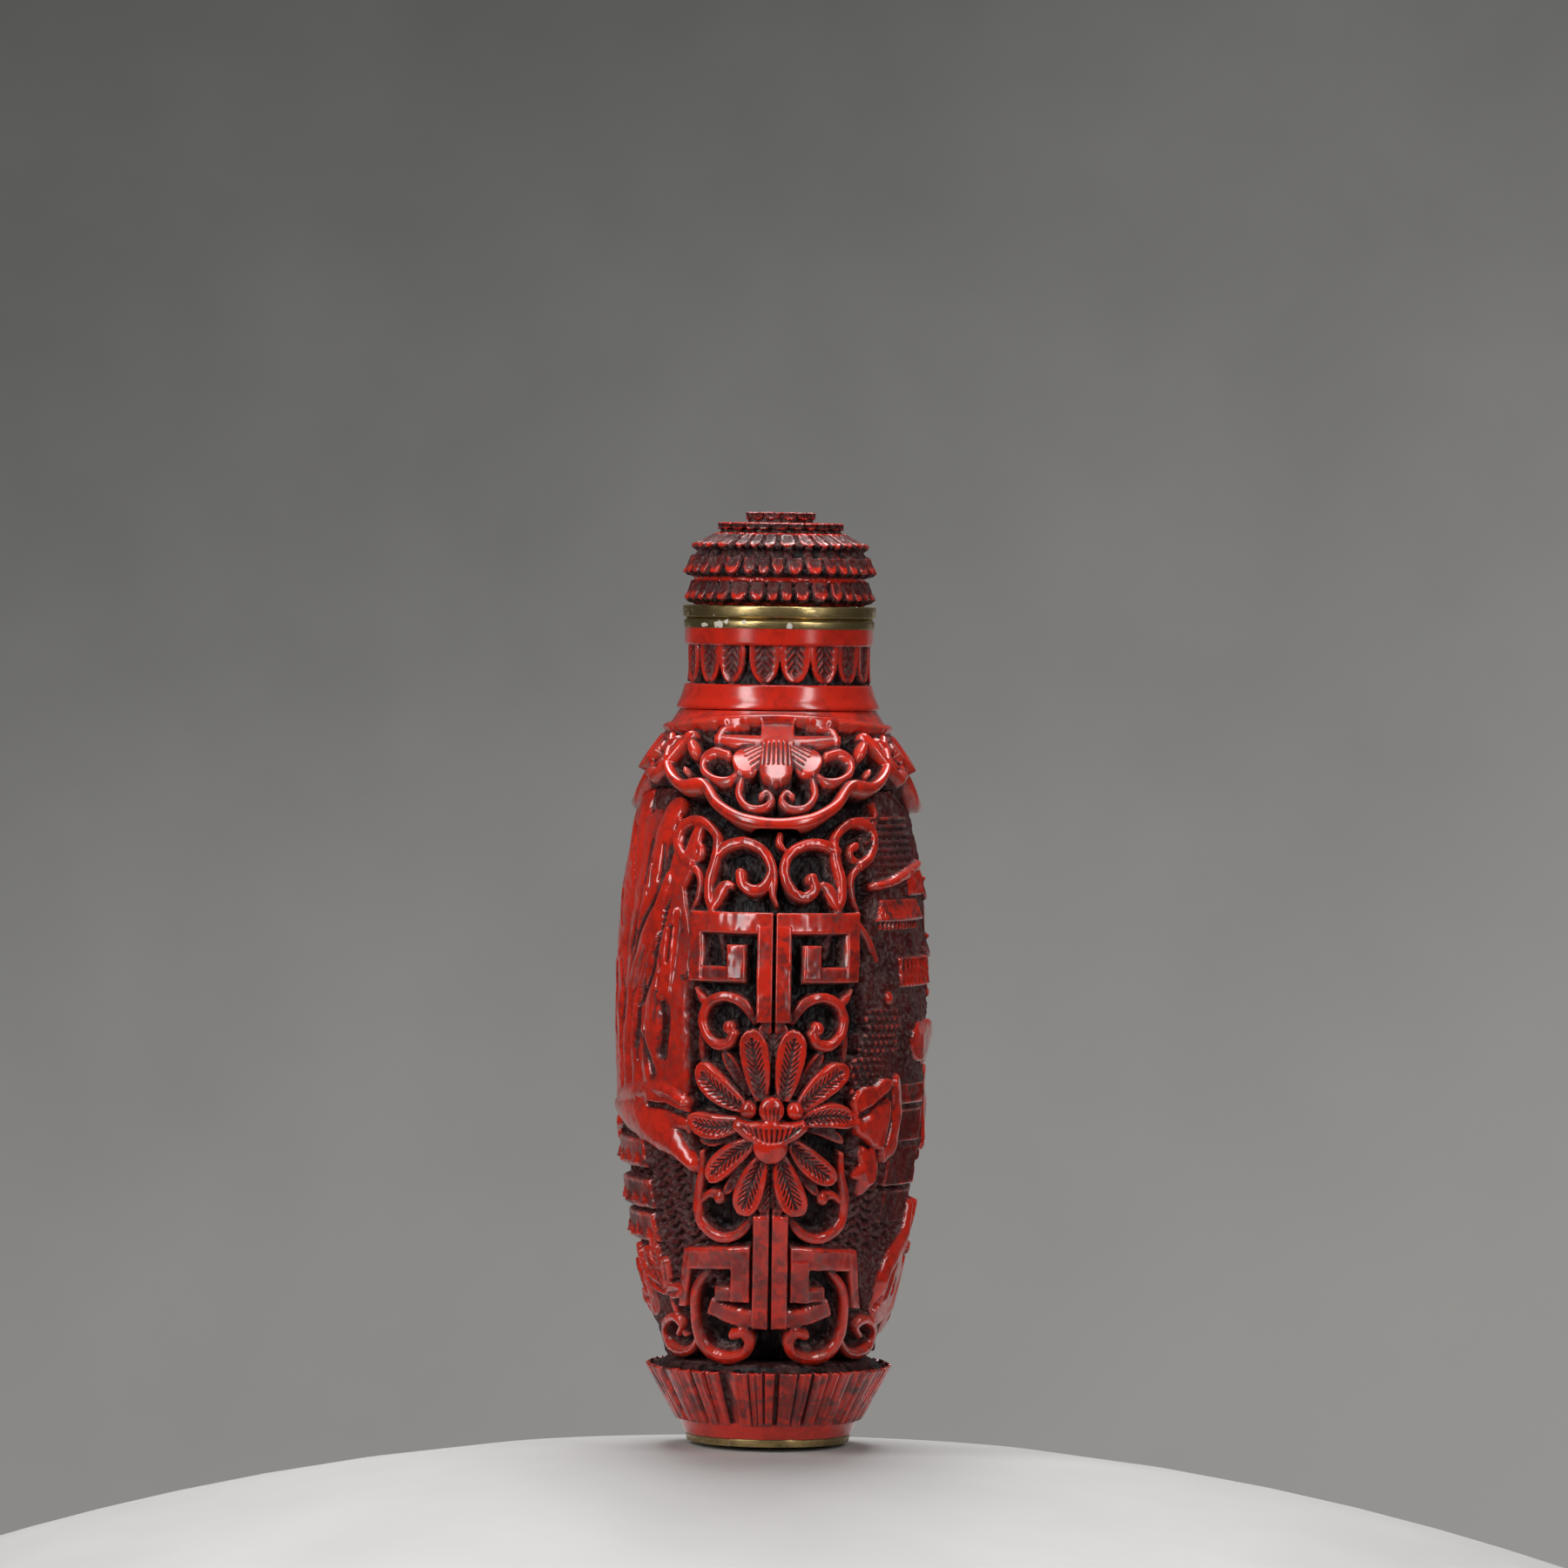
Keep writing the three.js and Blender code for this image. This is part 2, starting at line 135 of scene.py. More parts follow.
class Carving:  # a height over the ground for each point of a face, cut and raised form by form
    def __init__(self, across, up, height, grimeAndShade):
        self.x, self.z, self.h, self.grimeAndShade = across, up, height, grimeAndShade

    def near(self, line, margin):
        low, high = line[:, :2].min(0) - margin, line[:, :2].max(0) + margin
        spot = (self.x > low[0]) & (self.x < high[0]) & (self.z > low[1]) & (self.z < high[1])
        return np.nonzero(spot)

    def along(self, spot, line):  # distance to a line, share of its length, and how far past its ends
        x, z = self.x[spot], self.z[spot]
        best, share, past = np.full(x.shape, farAway), np.zeros_like(x), np.zeros_like(x)
        runs = np.hypot(*np.diff(line[:, :2], axis=0).T)
        reached = np.concatenate([[0], np.cumsum(runs)])
        for k, (p, q) in enumerate(zip(line, line[1:])):
            dx, dz = (q - p)[:2] / runs[k]
            t = (x - p[0]) * dx + (z - p[1]) * dz
            held = np.clip(t, 0, runs[k])
            d = np.hypot(x - p[0] - held * dx, z - p[1] - held * dz)
            closer = d < best
            best = np.where(closer, d, best)
            share = np.where(closer, (reached[k] + held) / reached[-1], share)
            before = -t if k == 0 else -farAway
            after = t - runs[k] if k == len(runs) - 1 else -farAway
            past = np.where(closer, np.maximum(np.maximum(before, after), 0), past)
        return best, share, past

    def pile(self, spot, e, top, grimeAndShade=0.15):  # raises a form whose edge is at e = 0, with e negative inside
        edge = cutting["edge"]
        # edges are rounded off in the shape itself, as if worn
        wearAndHighlight = np.clip(1 + e / edge, 0, 1) ** 2 * edge * 0.7
        rise = top - wearAndHighlight - np.maximum(e, 0) * cutting["steep"]
        over = rise > self.h[spot]
        self.h[spot] = np.where(over, rise, self.h[spot])
        self.grimeAndShade[spot] = np.where(over, grimeAndShade, self.grimeAndShade[spot])
        return over

    def ribbon(self, points, half, top, crown=0.12, square=False, grimeAndShade=0.15):
        line = softCurve(points) if len(points) > 2 else np.array(points, float)
        spot = self.near(line, np.max(half) + 0.5)
        d, share, past = self.along(spot, line)
        w, level = (np.interp(share, np.linspace(0, 1, np.size(v)), np.atleast_1d(v)) for v in (half, top))
        e = d - w
        if square:
            across = np.sqrt(np.maximum(d**2 - past**2, 0))
            e = np.maximum(across - w, past)
        self.pile(spot, e, level - crown * np.minimum(d / w, 1) ** 2, grimeAndShade)

    def slab(self, low, high, top, lean=(0, 0), grimeAndShade=0.3):
        corners = np.array([low, high], float)
        spot = self.near(corners, 0.6)
        middle, half = corners.mean(0), (corners[1] - corners[0]) / 2
        dx, dz = self.x[spot] - middle[0], self.z[spot] - middle[1]
        e = np.maximum(np.abs(dx - lean[0] * dz) - half[0], np.abs(dz - lean[1] * dx) - half[1])
        self.pile(spot, e, top, grimeAndShade)
        return spot, e

    def groove(self, points, half, depth, above=0.35):
        line = softCurve(points) if len(points) > 2 else np.array(points, float)
        spot = self.near(line, half + 0.1)
        d, _, _ = self.along(spot, line)
        share = np.clip(1.15 - d / half, 0, 1) ** 0.7 * (self.h[spot] > above)
        self.h[spot] -= depth * share
        # the cut is also painted dark: painted shade along the groove
        self.grimeAndShade[spot] = np.maximum(self.grimeAndShade[spot], share * 0.85)

    def ball(self, centre, radius, top, dome=0.5):
        spot = self.near(np.array([centre, centre], float), radius + 0.4)
        d = np.hypot(self.x[spot] - centre[0], self.z[spot] - centre[1])
        self.pile(spot, d - radius, top - dome * np.minimum(d / radius, 1) ** 2)

    def pit(self, centre, width, length, depth):
        spot = self.near(np.array([centre, centre], float), max(width, length))
        d = np.hypot((self.x[spot] - centre[0]) / width, (self.z[spot] - centre[1]) / length)
        self.h[spot] -= depth * (1 - smoothStep(0.7, 1.0, d))

    def lengthwise(self, base, tip, half):
        base, tip = np.array(base, float), np.array(tip, float)
        length = np.hypot(*(tip - base))
        dx, dz = (tip - base) / length
        spot = self.near(np.array([base, tip]), half + 0.8)
        x, z = self.x[spot] - base[0], self.z[spot] - base[1]
        return spot, (x * dx + z * dz) / length, z * dx - x * dz, length

    def leaf(self, base, tip, half, top, widest=0.6, dish=0.1, veins=1.0, bow=0.0, tuck=0.5, pitch=0.5):
        spot, s, t, length = self.lengthwise(base, tip, half)
        t = t - bow * 4 * s * (1 - s)
        inside = np.clip(s, 0, 1)
        rising = 0.42 + 0.58 * np.sin(np.minimum(inside / widest, 1) * math.pi / 2) ** 0.85
        falling = np.sqrt(np.maximum(1 - np.maximum((inside - widest) / (1 - widest), 0) ** 2.4, 0))
        w = half * rising * falling
        e = np.maximum(np.abs(t) - w, np.maximum(-s, s - 1) * length)
        share = np.minimum(np.abs(t) / np.maximum(w, 0.05), 1)
        level = top - tuck * (1 - inside) ** 2 - dish * (1 - share**2) * np.minimum(inside * 3, 1)
        over = self.pile(spot, e, level, grimeAndShade=0.12)
        rib = np.clip(1.15 - np.abs(t) / 0.16, 0, 1) * (inside < 0.88)
        slant = (s * length - np.abs(t) * 1.3) / pitch
        hatch = np.clip(1.2 - np.abs(slant - np.floor(slant) - 0.5) * 3.6, 0, 1)
        hatch = hatch * (1 - smoothStep(0.42, 0.66, share)) * (inside > 0.08) * (inside < 0.84)
        lines = np.where(over & (e < -0.1), min(veins, 1) * np.maximum(rib, hatch), 0)
        self.h[spot] -= 0.26 * lines
        # the veins are also painted dark: painted shade in the cut lines
        self.grimeAndShade[spot] = np.maximum(self.grimeAndShade[spot], lines * 0.85)

    def fanPetal(self, base, tip, half, top, ribs=7, tuck=0.3, root=0.55):
        spot, s, t, length = self.lengthwise(base, tip, half)
        inside = np.clip(s, 0, 1)
        w = half * (root + (1 - root) * np.minimum(inside / 0.6, 1) ** 0.7)
        w = w * np.sqrt(np.maximum(1 - np.maximum((inside - 0.62) / 0.38, 0) ** 2.0, 0))
        e = np.maximum(np.abs(t) - w, np.maximum(-s, s - 1) * length)
        share = t / np.maximum(half * (root + (1 - root) * inside), 0.05)
        rib = np.clip(1.1 - np.abs((share * ribs / 2) % 1 - 0.5) * 6, 0, 1) * (inside > 0.1) * (inside < 0.6)
        over = self.pile(spot, e, top - tuck * (1 - inside) - 0.25 * share**2)
        lines = np.where(over & (e < -0.12), rib, 0)
        self.h[spot] -= 0.2 * lines
        # the ribs are also painted dark: painted shade in the cut lines
        self.grimeAndShade[spot] = np.maximum(self.grimeAndShade[spot], lines * 0.8)

    def plate(self, mask, level, grimeAndShade):  # raises a masked area to a level
        rise = np.where(mask > 0.02, self.h + mask * (level - self.h), self.h)
        over = rise > self.h
        self.h[over] = rise[over]
        self.grimeAndShade[over] = np.broadcast_to(grimeAndShade, self.h.shape)[over]


def facesOf(skin, turn, s, height, grimeAndShade):  # the four faces of one skin, each measured from its own middle
    a, b, _ = skin(s)
    views = []
    for quarter in range(4):
        middle = quarter * math.pi / 2
        off = (turn - middle + math.pi) % math.tau - math.pi
        across = arcLength(middle + off, a, b, middle)
        views.append(Carving(np.where(np.abs(off) < 1.6, across, farAway), s, height, grimeAndShade))
    return views


def boxBlur(grid, reach):  # the mean of the heights round each point, carried on across the seam
    for axis in (0, 1):
        ends = ([0], [-1]) if axis == 0 else (range(-reach - 1, -1), range(1, reach + 1))
        before, after = grid.take(ends[0], axis), grid.take(ends[1], axis)
        if axis == 0:
            before, after = np.repeat(before, reach, 0), np.repeat(after, reach, 0)
        padded = np.concatenate([before, grid, after], axis)
        total = np.insert(np.cumsum(padded, axis), 0, 0, axis)
        size, width = grid.shape[axis], 2 * reach + 1
        grid = (total.take(range(width, size + width), axis) - total.take(range(size), axis)) / width
    return grid


def onSurface(skin, turn, s, rise):  # places that stand off a skin by a rise, along its normal
    step = 0.02
    a, b, z = skin(s)
    a2, b2, z2 = skin(s + step)
    a1, b1, z1 = skin(s - step)
    da, db, dz = a2 - a1, b2 - b1, z2 - z1
    sin, cos = np.sin(turn), np.cos(turn)
    normal = np.stack([b * dz * sin, -a * dz * cos, -(a * db * cos**2 + b * da * sin**2)], -1)
    normal /= np.linalg.norm(normal, axis=-1, keepdims=True)
    return np.stack([a * sin, -b * cos, z + 0 * turn], -1) + normal * np.asarray(rise)[..., None]


def finishPiece(mesh, name, material, node):
    piece = bpy.data.objects.new(name, mesh)
    bpy.context.scene.collection.objects.link(piece)
    mesh.materials.append(material)
    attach(piece, "root")
    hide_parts(node)


backGrain = 14  # the unseen inner wall is this many times coarser than the carved skin


def gridShell(name, outer, tone, inner=None, ring=False):  # a carved skin, closed by an inner wall or by ends
    rows, columns = outer.shape[0] - 1, outer.shape[1] - 1
    cloth = bmesh.new()
    bmesh.ops.create_grid(cloth, x_segments=columns, y_segments=rows, size=1)
    places = outer.reshape(-1, 3)
    if inner is not None:
        bmesh.ops.create_grid(cloth, x_segments=inner.shape[1] - 1, y_segments=inner.shape[0] - 1, size=1)
        places = np.concatenate([places, inner.reshape(-1, 3)])
    mesh = bpy.data.meshes.new(name)
    cloth.to_mesh(mesh)
    mesh.vertices.foreach_set("co", (places * mm).ravel())
    colours = np.zeros((len(places), 4), np.float32)
    colours[: tone[0].size] = np.stack([*(t.ravel() for t in tone), np.ones(tone[0].size)], -1)
    mesh.attributes.new("carving", "FLOAT_COLOR", "POINT").data.foreach_set("color", colours.ravel())
    cloth.clear()
    cloth.from_mesh(mesh)
    if ring:
        bmesh.ops.remove_doubles(cloth, verts=cloth.verts, dist=1e-7)
    rims = [edge for edge in cloth.edges if edge.is_boundary]
    for edge in rims:
        edge.smooth = False
    if inner is None:
        ends = bmesh.ops.holes_fill(cloth, edges=rims, sides=0)["faces"]
        bmesh.ops.poke(cloth, faces=ends)
    elif ring:
        middle = sum(edge.verts[0].co.z for edge in rims) / len(rims)
        for upper in (True, False):
            bmesh.ops.bridge_loops(cloth, edges=[e for e in rims if (e.verts[0].co.z > middle) == upper])
    else:
        bmesh.ops.bridge_loops(cloth, edges=rims)
    bmesh.ops.recalc_face_normals(cloth, faces=cloth.faces)
    cloth.to_mesh(mesh)
    cloth.free()
    mesh.shade_smooth()
    print(name, len(mesh.polygons), "faces")
    return mesh


def innerWall(skin, stations, turns, thickness):
    coarseRows = np.linspace(stations[0], stations[-1], max(len(stations) // backGrain, 2) + 1)
    coarseTurns = np.linspace(turns[0], turns[-1], max(len(turns) // backGrain, 3) + 1)
    turn, s = np.meshgrid(coarseTurns, coarseRows)
    return onSurface(skin, turn, s, np.full(turn.shape, -thickness))


def carvedRing(name, node, skin, stations, shape, carve):
    turns = np.linspace(-math.pi, math.pi, shape["columns"] + 1)
    turn, s = np.meshgrid(turns, stations)
    height, grimeAndShade = np.zeros_like(turn), np.zeros_like(turn)
    carve(turn, s, height, grimeAndShade)
    tone = toneOf(height, shape["relief"], grimeAndShade, shape["cell"])
    outer = onSurface(skin, turn, s, height - shape["relief"])
    inner = innerWall(skin, stations, turns, shape["wall"]) if "wall" in shape else None
    mesh = gridShell(name, outer, tone, inner, ring=True)
    finishPiece(mesh, name, lacquer, node)


def toneOf(height, relief, grimeAndShade, cell):  # level, how far a point stands out of its surroundings, and grime with painted shade, for the lacquer to read
    level = np.clip(height / relief, 0, 1.4)
    # rims standing above their surroundings read paler, with wear and painted highlight; hollows read darker,
    # with painted shade
    wearAndHighlight = height - boxBlur(height, max(2, int(0.45 / cell)))
    return level, np.clip(0.5 + wearAndHighlight * 0.6, 0, 1), np.clip(grimeAndShade, 0, 1)


# Shader expressions


class Socket:  # wraps a node's output, so that sums on sockets read as plain sums
    def __init__(self, tree, link=None):
        self.tree, self.link = tree, link

    def node(self, kind, settings=None, inputs=None, output=0):
        made = self.tree.nodes.new(kind)
        for key, value in (settings or {}).items():
            setattr(made, key, value)
        for key, value in (inputs or {}).items():
            if isinstance(value, Socket):
                self.tree.links.new(value.link, made.inputs[key])
            else:
                made.inputs[key].default_value = value
        return Socket(self.tree, made.outputs[output])

    def sum(self, operation, first, second=0.0):
        return self.node("ShaderNodeMath", {"operation": operation}, {0: first, 1: second})

    def __add__(self, other):
        return self.sum("ADD", self, other)

    def __sub__(self, other):
        return self.sum("SUBTRACT", self, other)

    def __rsub__(self, other):
        return self.sum("SUBTRACT", other, self)

    def __mul__(self, other):
        return self.sum("MULTIPLY", self, other)

    def __truediv__(self, other):
        return self.sum("DIVIDE", self, other)

    __radd__ = __add__
    __rmul__ = __mul__

    def within(self, low, high):  # 0 below low, 1 above high, smooth between
        inputs = {"Value": self, "From Min": low, "From Max": high}
        return self.node("ShaderNodeMapRange", {"interpolation_type": "SMOOTHSTEP"}, inputs)

    def mix(self, first, second):  # this socket is the share of the second colour
        return self.node("ShaderNodeMix", {"data_type": "RGBA"}, {0: self, 6: first, 7: second}, 2)


def startMaterial(name):
    material = bpy.data.materials.new(name)
    material.use_nodes = True
    start = Socket(material.node_tree)
    shader = material.node_tree.nodes["Principled BSDF"]
    return material, start, shader


def noiseOn(start, place, scale, detail=3.0, roughness=0.55):
    inputs = {"Vector": place, "Scale": scale, "Detail": detail, "Roughness": roughness}
    return start.node("ShaderNodeTexNoise", {}, inputs)


def feed(shader, start, values):
    for name, value in values.items():
        if isinstance(value, Socket):
            start.tree.links.new(value.link, shader.inputs[name])
        else:
            shader.inputs[name].default_value = value


lacquerLook = {
    # black and maroon fill the ground and the walls: partly the lacquer's own dark ground, partly painted
    # shade that deepens with depth
    "black": (0.004, 0.002, 0.003, 1),
    "maroon": (0.075, 0.008, 0.008, 1),
    "red": (0.54, 0.018, 0.006, 1),
    # a paler red on raised rims: partly wear, partly painted highlight
    "wearAndHighlight": (0.62, 0.12, 0.08, 1),
    "stain": (0.03, 0.004, 0.004, 1),
    "dust": (0.24, 0.15, 0.14, 1),
    "coat": 0.85,
    "coatRoughness": 0.17,
    "sheen": 0.2,  # how much the bare lacquer under the coat shines
}


def makeLacquer():
    material, start, shader = startMaterial("redLacquer")
    look = lacquerLook
    carving = start.node("ShaderNodeAttribute", {"attribute_name": "carving"})
    # the third channel carries grime together with painted shade laid in grooves, under petal tips and inside
    # the foot's open top
    level, edge, grimeAndShade = (start.node("ShaderNodeSeparateColor", {}, {0: carving}, i) for i in range(3))
    place = start.node("ShaderNodeTexCoord", output="Object")
    broad = noiseOn(start, place, 230)
    fine = noiseOn(start, place, 1100, 4, 0.65)
    specks = noiseOn(start, place, 3000, 2, 0.5)
    # darker the deeper and the more hollow a point lies: partly the dark ground, partly painted shade
    depth = (level + (broad - 0.5) * 0.25 + (edge - 0.5) * 0.5).within(0.12, 0.62)
    colour = depth.mix(look["black"], look["maroon"])
    # the red skin covers the tops, reaches further over raised rims and draws back from hollows, which is
    # painted highlight and painted shade as well
    skin = (level + (edge - 0.5) * 0.9 + (fine - 0.5) * 0.2 - grimeAndShade * 0.45).within(0.6, 0.84)
    colour = skin.mix(colour, look["red"])
    blotch = (broad * 0.5 + fine * 0.6).within(0.5, 0.62) * (0.2 + grimeAndShade)
    mottle = (fine * 0.6 + specks * 0.45).within(0.5, 0.64) * broad.within(0.35, 0.6) * (0.15 + grimeAndShade * 1.5)
    colour = blotch.mix(colour, look["stain"])
    colour = mottle.mix(colour, look["stain"])
    # paler red on the raised rims of the tops: partly wear, partly painted highlight
    wearAndHighlight = edge.within(0.62, 0.85) * skin * (fine * 0.8 - 0.12)
    colour = wearAndHighlight.mix(colour, look["wearAndHighlight"])
    shelf = level.within(0.1, 0.4) * (1 - level.within(0.65, 0.95))
    hollow = (0.5 - edge).within(0.03, 0.2) * level.within(0.02, 0.3)
    dust = (shelf * 0.4 + hollow * 0.5 + grimeAndShade * 0.25) * (fine * 0.6 + specks * 0.5).within(0.48, 0.7) * 0.8
    colour = dust.mix(colour, look["dust"])
    rough = 0.5 - skin * 0.28 + dust * 0.25 + blotch * 0.12 + (fine - 0.5) * 0.16
    height = fine * 0.6 + specks * 0.4
    bump = start.node("ShaderNodeBump", {}, {"Strength": 0.2, "Distance": 0.00005, "Height": height})
    feed(shader, start, {"Base Color": colour, "Roughness": rough, "Normal": bump,
                         "Coat Weight": skin * look["coat"], "Coat Roughness": look["coatRoughness"],
                         "Specular IOR Level": look["sheen"]})
    return material


brassLook = {
    "metal": (0.52, 0.39, 0.17, 1),
    "tarnish": (0.15, 0.11, 0.05, 1),
    "scale": (0.62, 0.6, 0.55, 1),
    # across, up and size of each pale scar on the front of the mouth
    "chips": [(-6.4, 70.2, 0.35), (-5.2, 70.3, 0.5), (-4.6, 70.5, 0.3), (-3.0, 70.5, 0.22),
              (0.9, 70.15, 0.4)],
}


def makeBrass():
    material, start, shader = startMaterial("agedBrass")
    look = brassLook
    place = start.node("ShaderNodeTexCoord", output="Object")
    drawn = start.node("ShaderNodeMapping", {}, {"Vector": place, "Scale": (1, 1, 9)})
    broad = noiseOn(start, place, 420)
    scratch = noiseOn(start, drawn, 900, 4, 0.7)
    specks = noiseOn(start, place, 2400, 2, 0.5)
    tarnish = (broad * 0.7 + scratch * 0.4).within(0.42, 0.72)
    colour = (tarnish * 0.85).mix(look["metal"], look["tarnish"])
    chips = 0
    for x, z, size in look["chips"]:
        shifted = {"Vector": place, "Location": (-x * mm, 0, -z * mm), "Scale": (1, 0, 1)}
        moved = start.node("ShaderNodeMapping", {}, shifted)
        away = start.node("ShaderNodeVectorMath", {"operation": "LENGTH"}, {0: moved}, "Value")
        chips = 1 - (away / (size * mm) + specks * 1.6).within(1.3, 1.6) + chips
    behind = start.node("ShaderNodeSeparateXYZ", {}, {0: place}, 1).within(-0.001, 0)
    crust = (specks.within(0.68, 0.72) * broad.within(0.45, 0.6) + chips * (1 - behind)).within(0, 1)
    colour = (crust * 0.8).mix(colour, look["scale"])
    rough = 0.2 + tarnish * 0.26 + scratch * 0.1 + crust * 0.2
    height = scratch + specks * 0.3
    bump = start.node("ShaderNodeBump", {}, {"Strength": 0.25, "Distance": 0.00005, "Height": height})
    feed(shader, start, {"Base Color": colour, "Metallic": 1 - crust, "Roughness": rough, "Normal": bump})
    return material


lacquer = makeLacquer()
brass = makeBrass()
print("materials made")


# Narrow sides: tracery over a dark ground, black partly of its own and partly as painted shade, given as it
# is seen from the front


def unrolled(points):  # from the distance seen off the middle to the distance along the skin
    p = np.array(points, float)
    a, b, _ = bodySkin(p[:, 1])
    turn = np.arcsin(np.clip(p[:, 0] / a, -0.995, 0.995))
    return np.column_stack([arcLength(turn, a, b), *p.T[1:]])


tracery = {
    "scroll": 0.44,  # half-width of a scroll
    "scrollTop": 1.95,
    "fretTop": 1.8,
    "petalTop": 2.0,
    "split": 0.14,  # half-width of the cut down a stem
}


def scrolls(face, side):
    w, top = tracery["scroll"], tracery["scrollTop"]

    def line(points, half=w, level=top, crown=0.15):
        face.ribbon(unrolled([(side * x, z) for x, z in points]), half, level, crown)

    line([(6.3, 36.4), (6.55, 34.8), (6.5, 33.2)], [0.4, 0.3], [1.6, 1.3])
    line([(7.5, 50.1), (6.85, 49.0), (7.05, 47.4), (7.5, 46.2)], [0.45, 0.35, 0.3], [1.7, 1.5, 1.4])
    hook = [(4.9, 42.4), (5.2, 44.4), (5.75, 46.6), (5.9, 48.2), (5.3, 50.8), (5.25, 52.5), (6.6, 53.75),
            (8.15, 53.3), (8.6, 51.8), (8.2, 50.7), (7.5, 50.1)]
    line(hook, [0.35, 0.42, 0.5, w, w, w, w, 0.5, 0.45], [0.8, 1.2, 1.9, 2.0, 2.0, 2.0, 2.0, 2.0, 1.9])
    line([(7.6, 50.2), (6.75, 50.9), (6.75, 51.6), (7.15, 51.8)], [0.4, 0.35, 0.42], [1.6, 1.7])
    line([(8.3, 53.0), (8.65, 54.2), (8.45, 55.4)], [0.45, 0.4, 0.15], [1.9, 1.8])
    line([(1.7, 36.9), (2.9, 38.45), (4.5, 38.95), (5.8, 38.35), (6.35, 37.0), (6.05, 35.7), (5.1, 34.85),
          (4.05, 35.0), (3.6, 35.8)], [0.4, 0.5, w, w, w, w, 0.5, 0.45], [1.3, 1.6, 1.8, 1.8, 1.8, 1.7])
    face.ball(unrolled([(side * 4.0, 36.3)])[0], 0.62, 1.85, 0.3)
    line([(5.9, 38.2), (6.5, 38.8), (7.0, 39.6)], [0.45, 0.4, 0.12], [1.7, 1.6])
    line([(6.35, 25.5), (6.3, 23.9), (6.55, 21.6), (6.25, 19.5), (4.9, 18.25), (3.3, 18.3), (2.0, 19.4),
          (1.6, 20.4)], [0.25, 0.35, 0.5, w, w, w, 0.45, 0.35], [1.5, 1.7, 1.8, 1.8, 1.7, 1.6, 1.3])
    line([(6.4, 21.3), (5.6, 21.9), (4.8, 21.8)], [0.4, 0.35, 0.5], [1.6, 1.5])
    face.ball(unrolled([(side * 4.7, 21.6)])[0], 0.6, 1.7, 0.3)
    line([(4.9, 16.2), (5.6, 15.2), (6.5, 13.8), (6.65, 12.0), (6.35, 9.9), (5.7, 8.5), (4.7, 7.75),
          (3.3, 7.6), (2.1, 8.1), (1.75, 9.1), (2.3, 9.9), (3.2, 9.7)],
         [0.3, 0.4, 0.5, w, w, w, w, w, w, 0.5, 0.45], [1.2, 1.7, 2.0, 2.0, 2.0, 2.0, 2.0, 1.9])
    line([(6.3, 9.3), (6.9, 8.2), (7.9, 7.8), (9.0, 8.5), (9.3, 10.0), (8.6, 10.9), (7.8, 10.3), (8.1, 9.5)],
         [0.4, 0.45, 0.45, 0.45, 0.45, 0.4, 0.35], [1.8, 1.9, 1.9, 1.8])


def upperVolutes(face):  # the two volutes under the collar aren't quite alike
    w, top = tracery["scroll"], tracery["scrollTop"]

    def line(points, half=w, level=top):
        face.ribbon(unrolled(points), half, level, 0.15)

    line([(5.4, 51.3), (4.3, 51.9), (2.8, 52.0), (1.35, 51.3), (0.78, 50.0), (1.0, 48.8), (1.8, 47.75),
          (2.8, 47.5), (3.5, 48.1), (3.3, 49.1)], [0.45, w, w, w, w, w, w, 0.5, 0.45], top)
    face.ball(unrolled([(3.25, 49.0)])[0], 0.55, 2.0, 0.25)
    line([(0.35, 52.8), (0.3, 52.2), (0.75, 51.6)], [0.3, 0.35, 0.2], 1.7)
    line([(-5.2, 51.0), (-4.4, 51.7), (-2.9, 52.1), (-1.4, 51.6), (-0.5, 50.5), (-0.2, 49.0), (-0.25, 47.8),
          (0.15, 46.8)], [0.45, w, w, w, w, 0.45, 0.35, 0.15], top)
    line([(-0.35, 49.6), (-0.9, 48.4), (-1.9, 48.0), (-2.9, 48.5), (-3.1, 49.4)], [0.4, 0.5, 0.5, 0.48], top)
    for s, lift in ((-1, 0.0), (1, 0.1)):
        bud = [(s * 5.7, 46.2 + lift), (s * 5.1, 47.6), (s * 4.4, 48.4), (s * 3.9, 48.4)]
        line(bud, [0.35, 0.6, 0.6, 0.3], 1.75)


def frets(face, side):
    top = tracery["fretTop"]

    def block(low, high, level, lean=(0, 0)):
        ends = unrolled([(side * low[0], low[1]), (side * high[0], high[1])])
        ends = np.array([ends[:, :2].min(0), ends[:, :2].max(0)])
        face.slab(ends[0], ends[1], level, (side * lean[0], side * lean[1]))

    block((0.0, 44.35), (7.4, 46.15), top)
    block((6.35, 40.2), (7.4, 45.4), top)
    block((2.6, 40.2), (7.4, 41.55), top - 0.12)
    block((2.6, 40.3), (4.2, 43.4), top - 0.05)
    block((0.0, 36.8), (1.5, 45.0), top + 0.1)
    block((7.0, 12.0), (7.85, 17.2), top, (-0.16, 0))
    block((1.8, 15.4), (7.3, 17.35), top - 0.05, (0, -0.03))
    block((1.8, 12.6), (3.5, 16.4), top)
    block((1.8, 12.6), (4.9, 13.9), top - 0.1)
    block((0.0, 10.3), (1.55, 20.2), top + 0.1)
    bar = unrolled([(side * x, z) for x, z in ((0.3, 10.95), (3.0, 11.2), (5.4, 12.1))])
    face.ribbon(bar, 0.72, top - 0.05, 0.05, square=True)


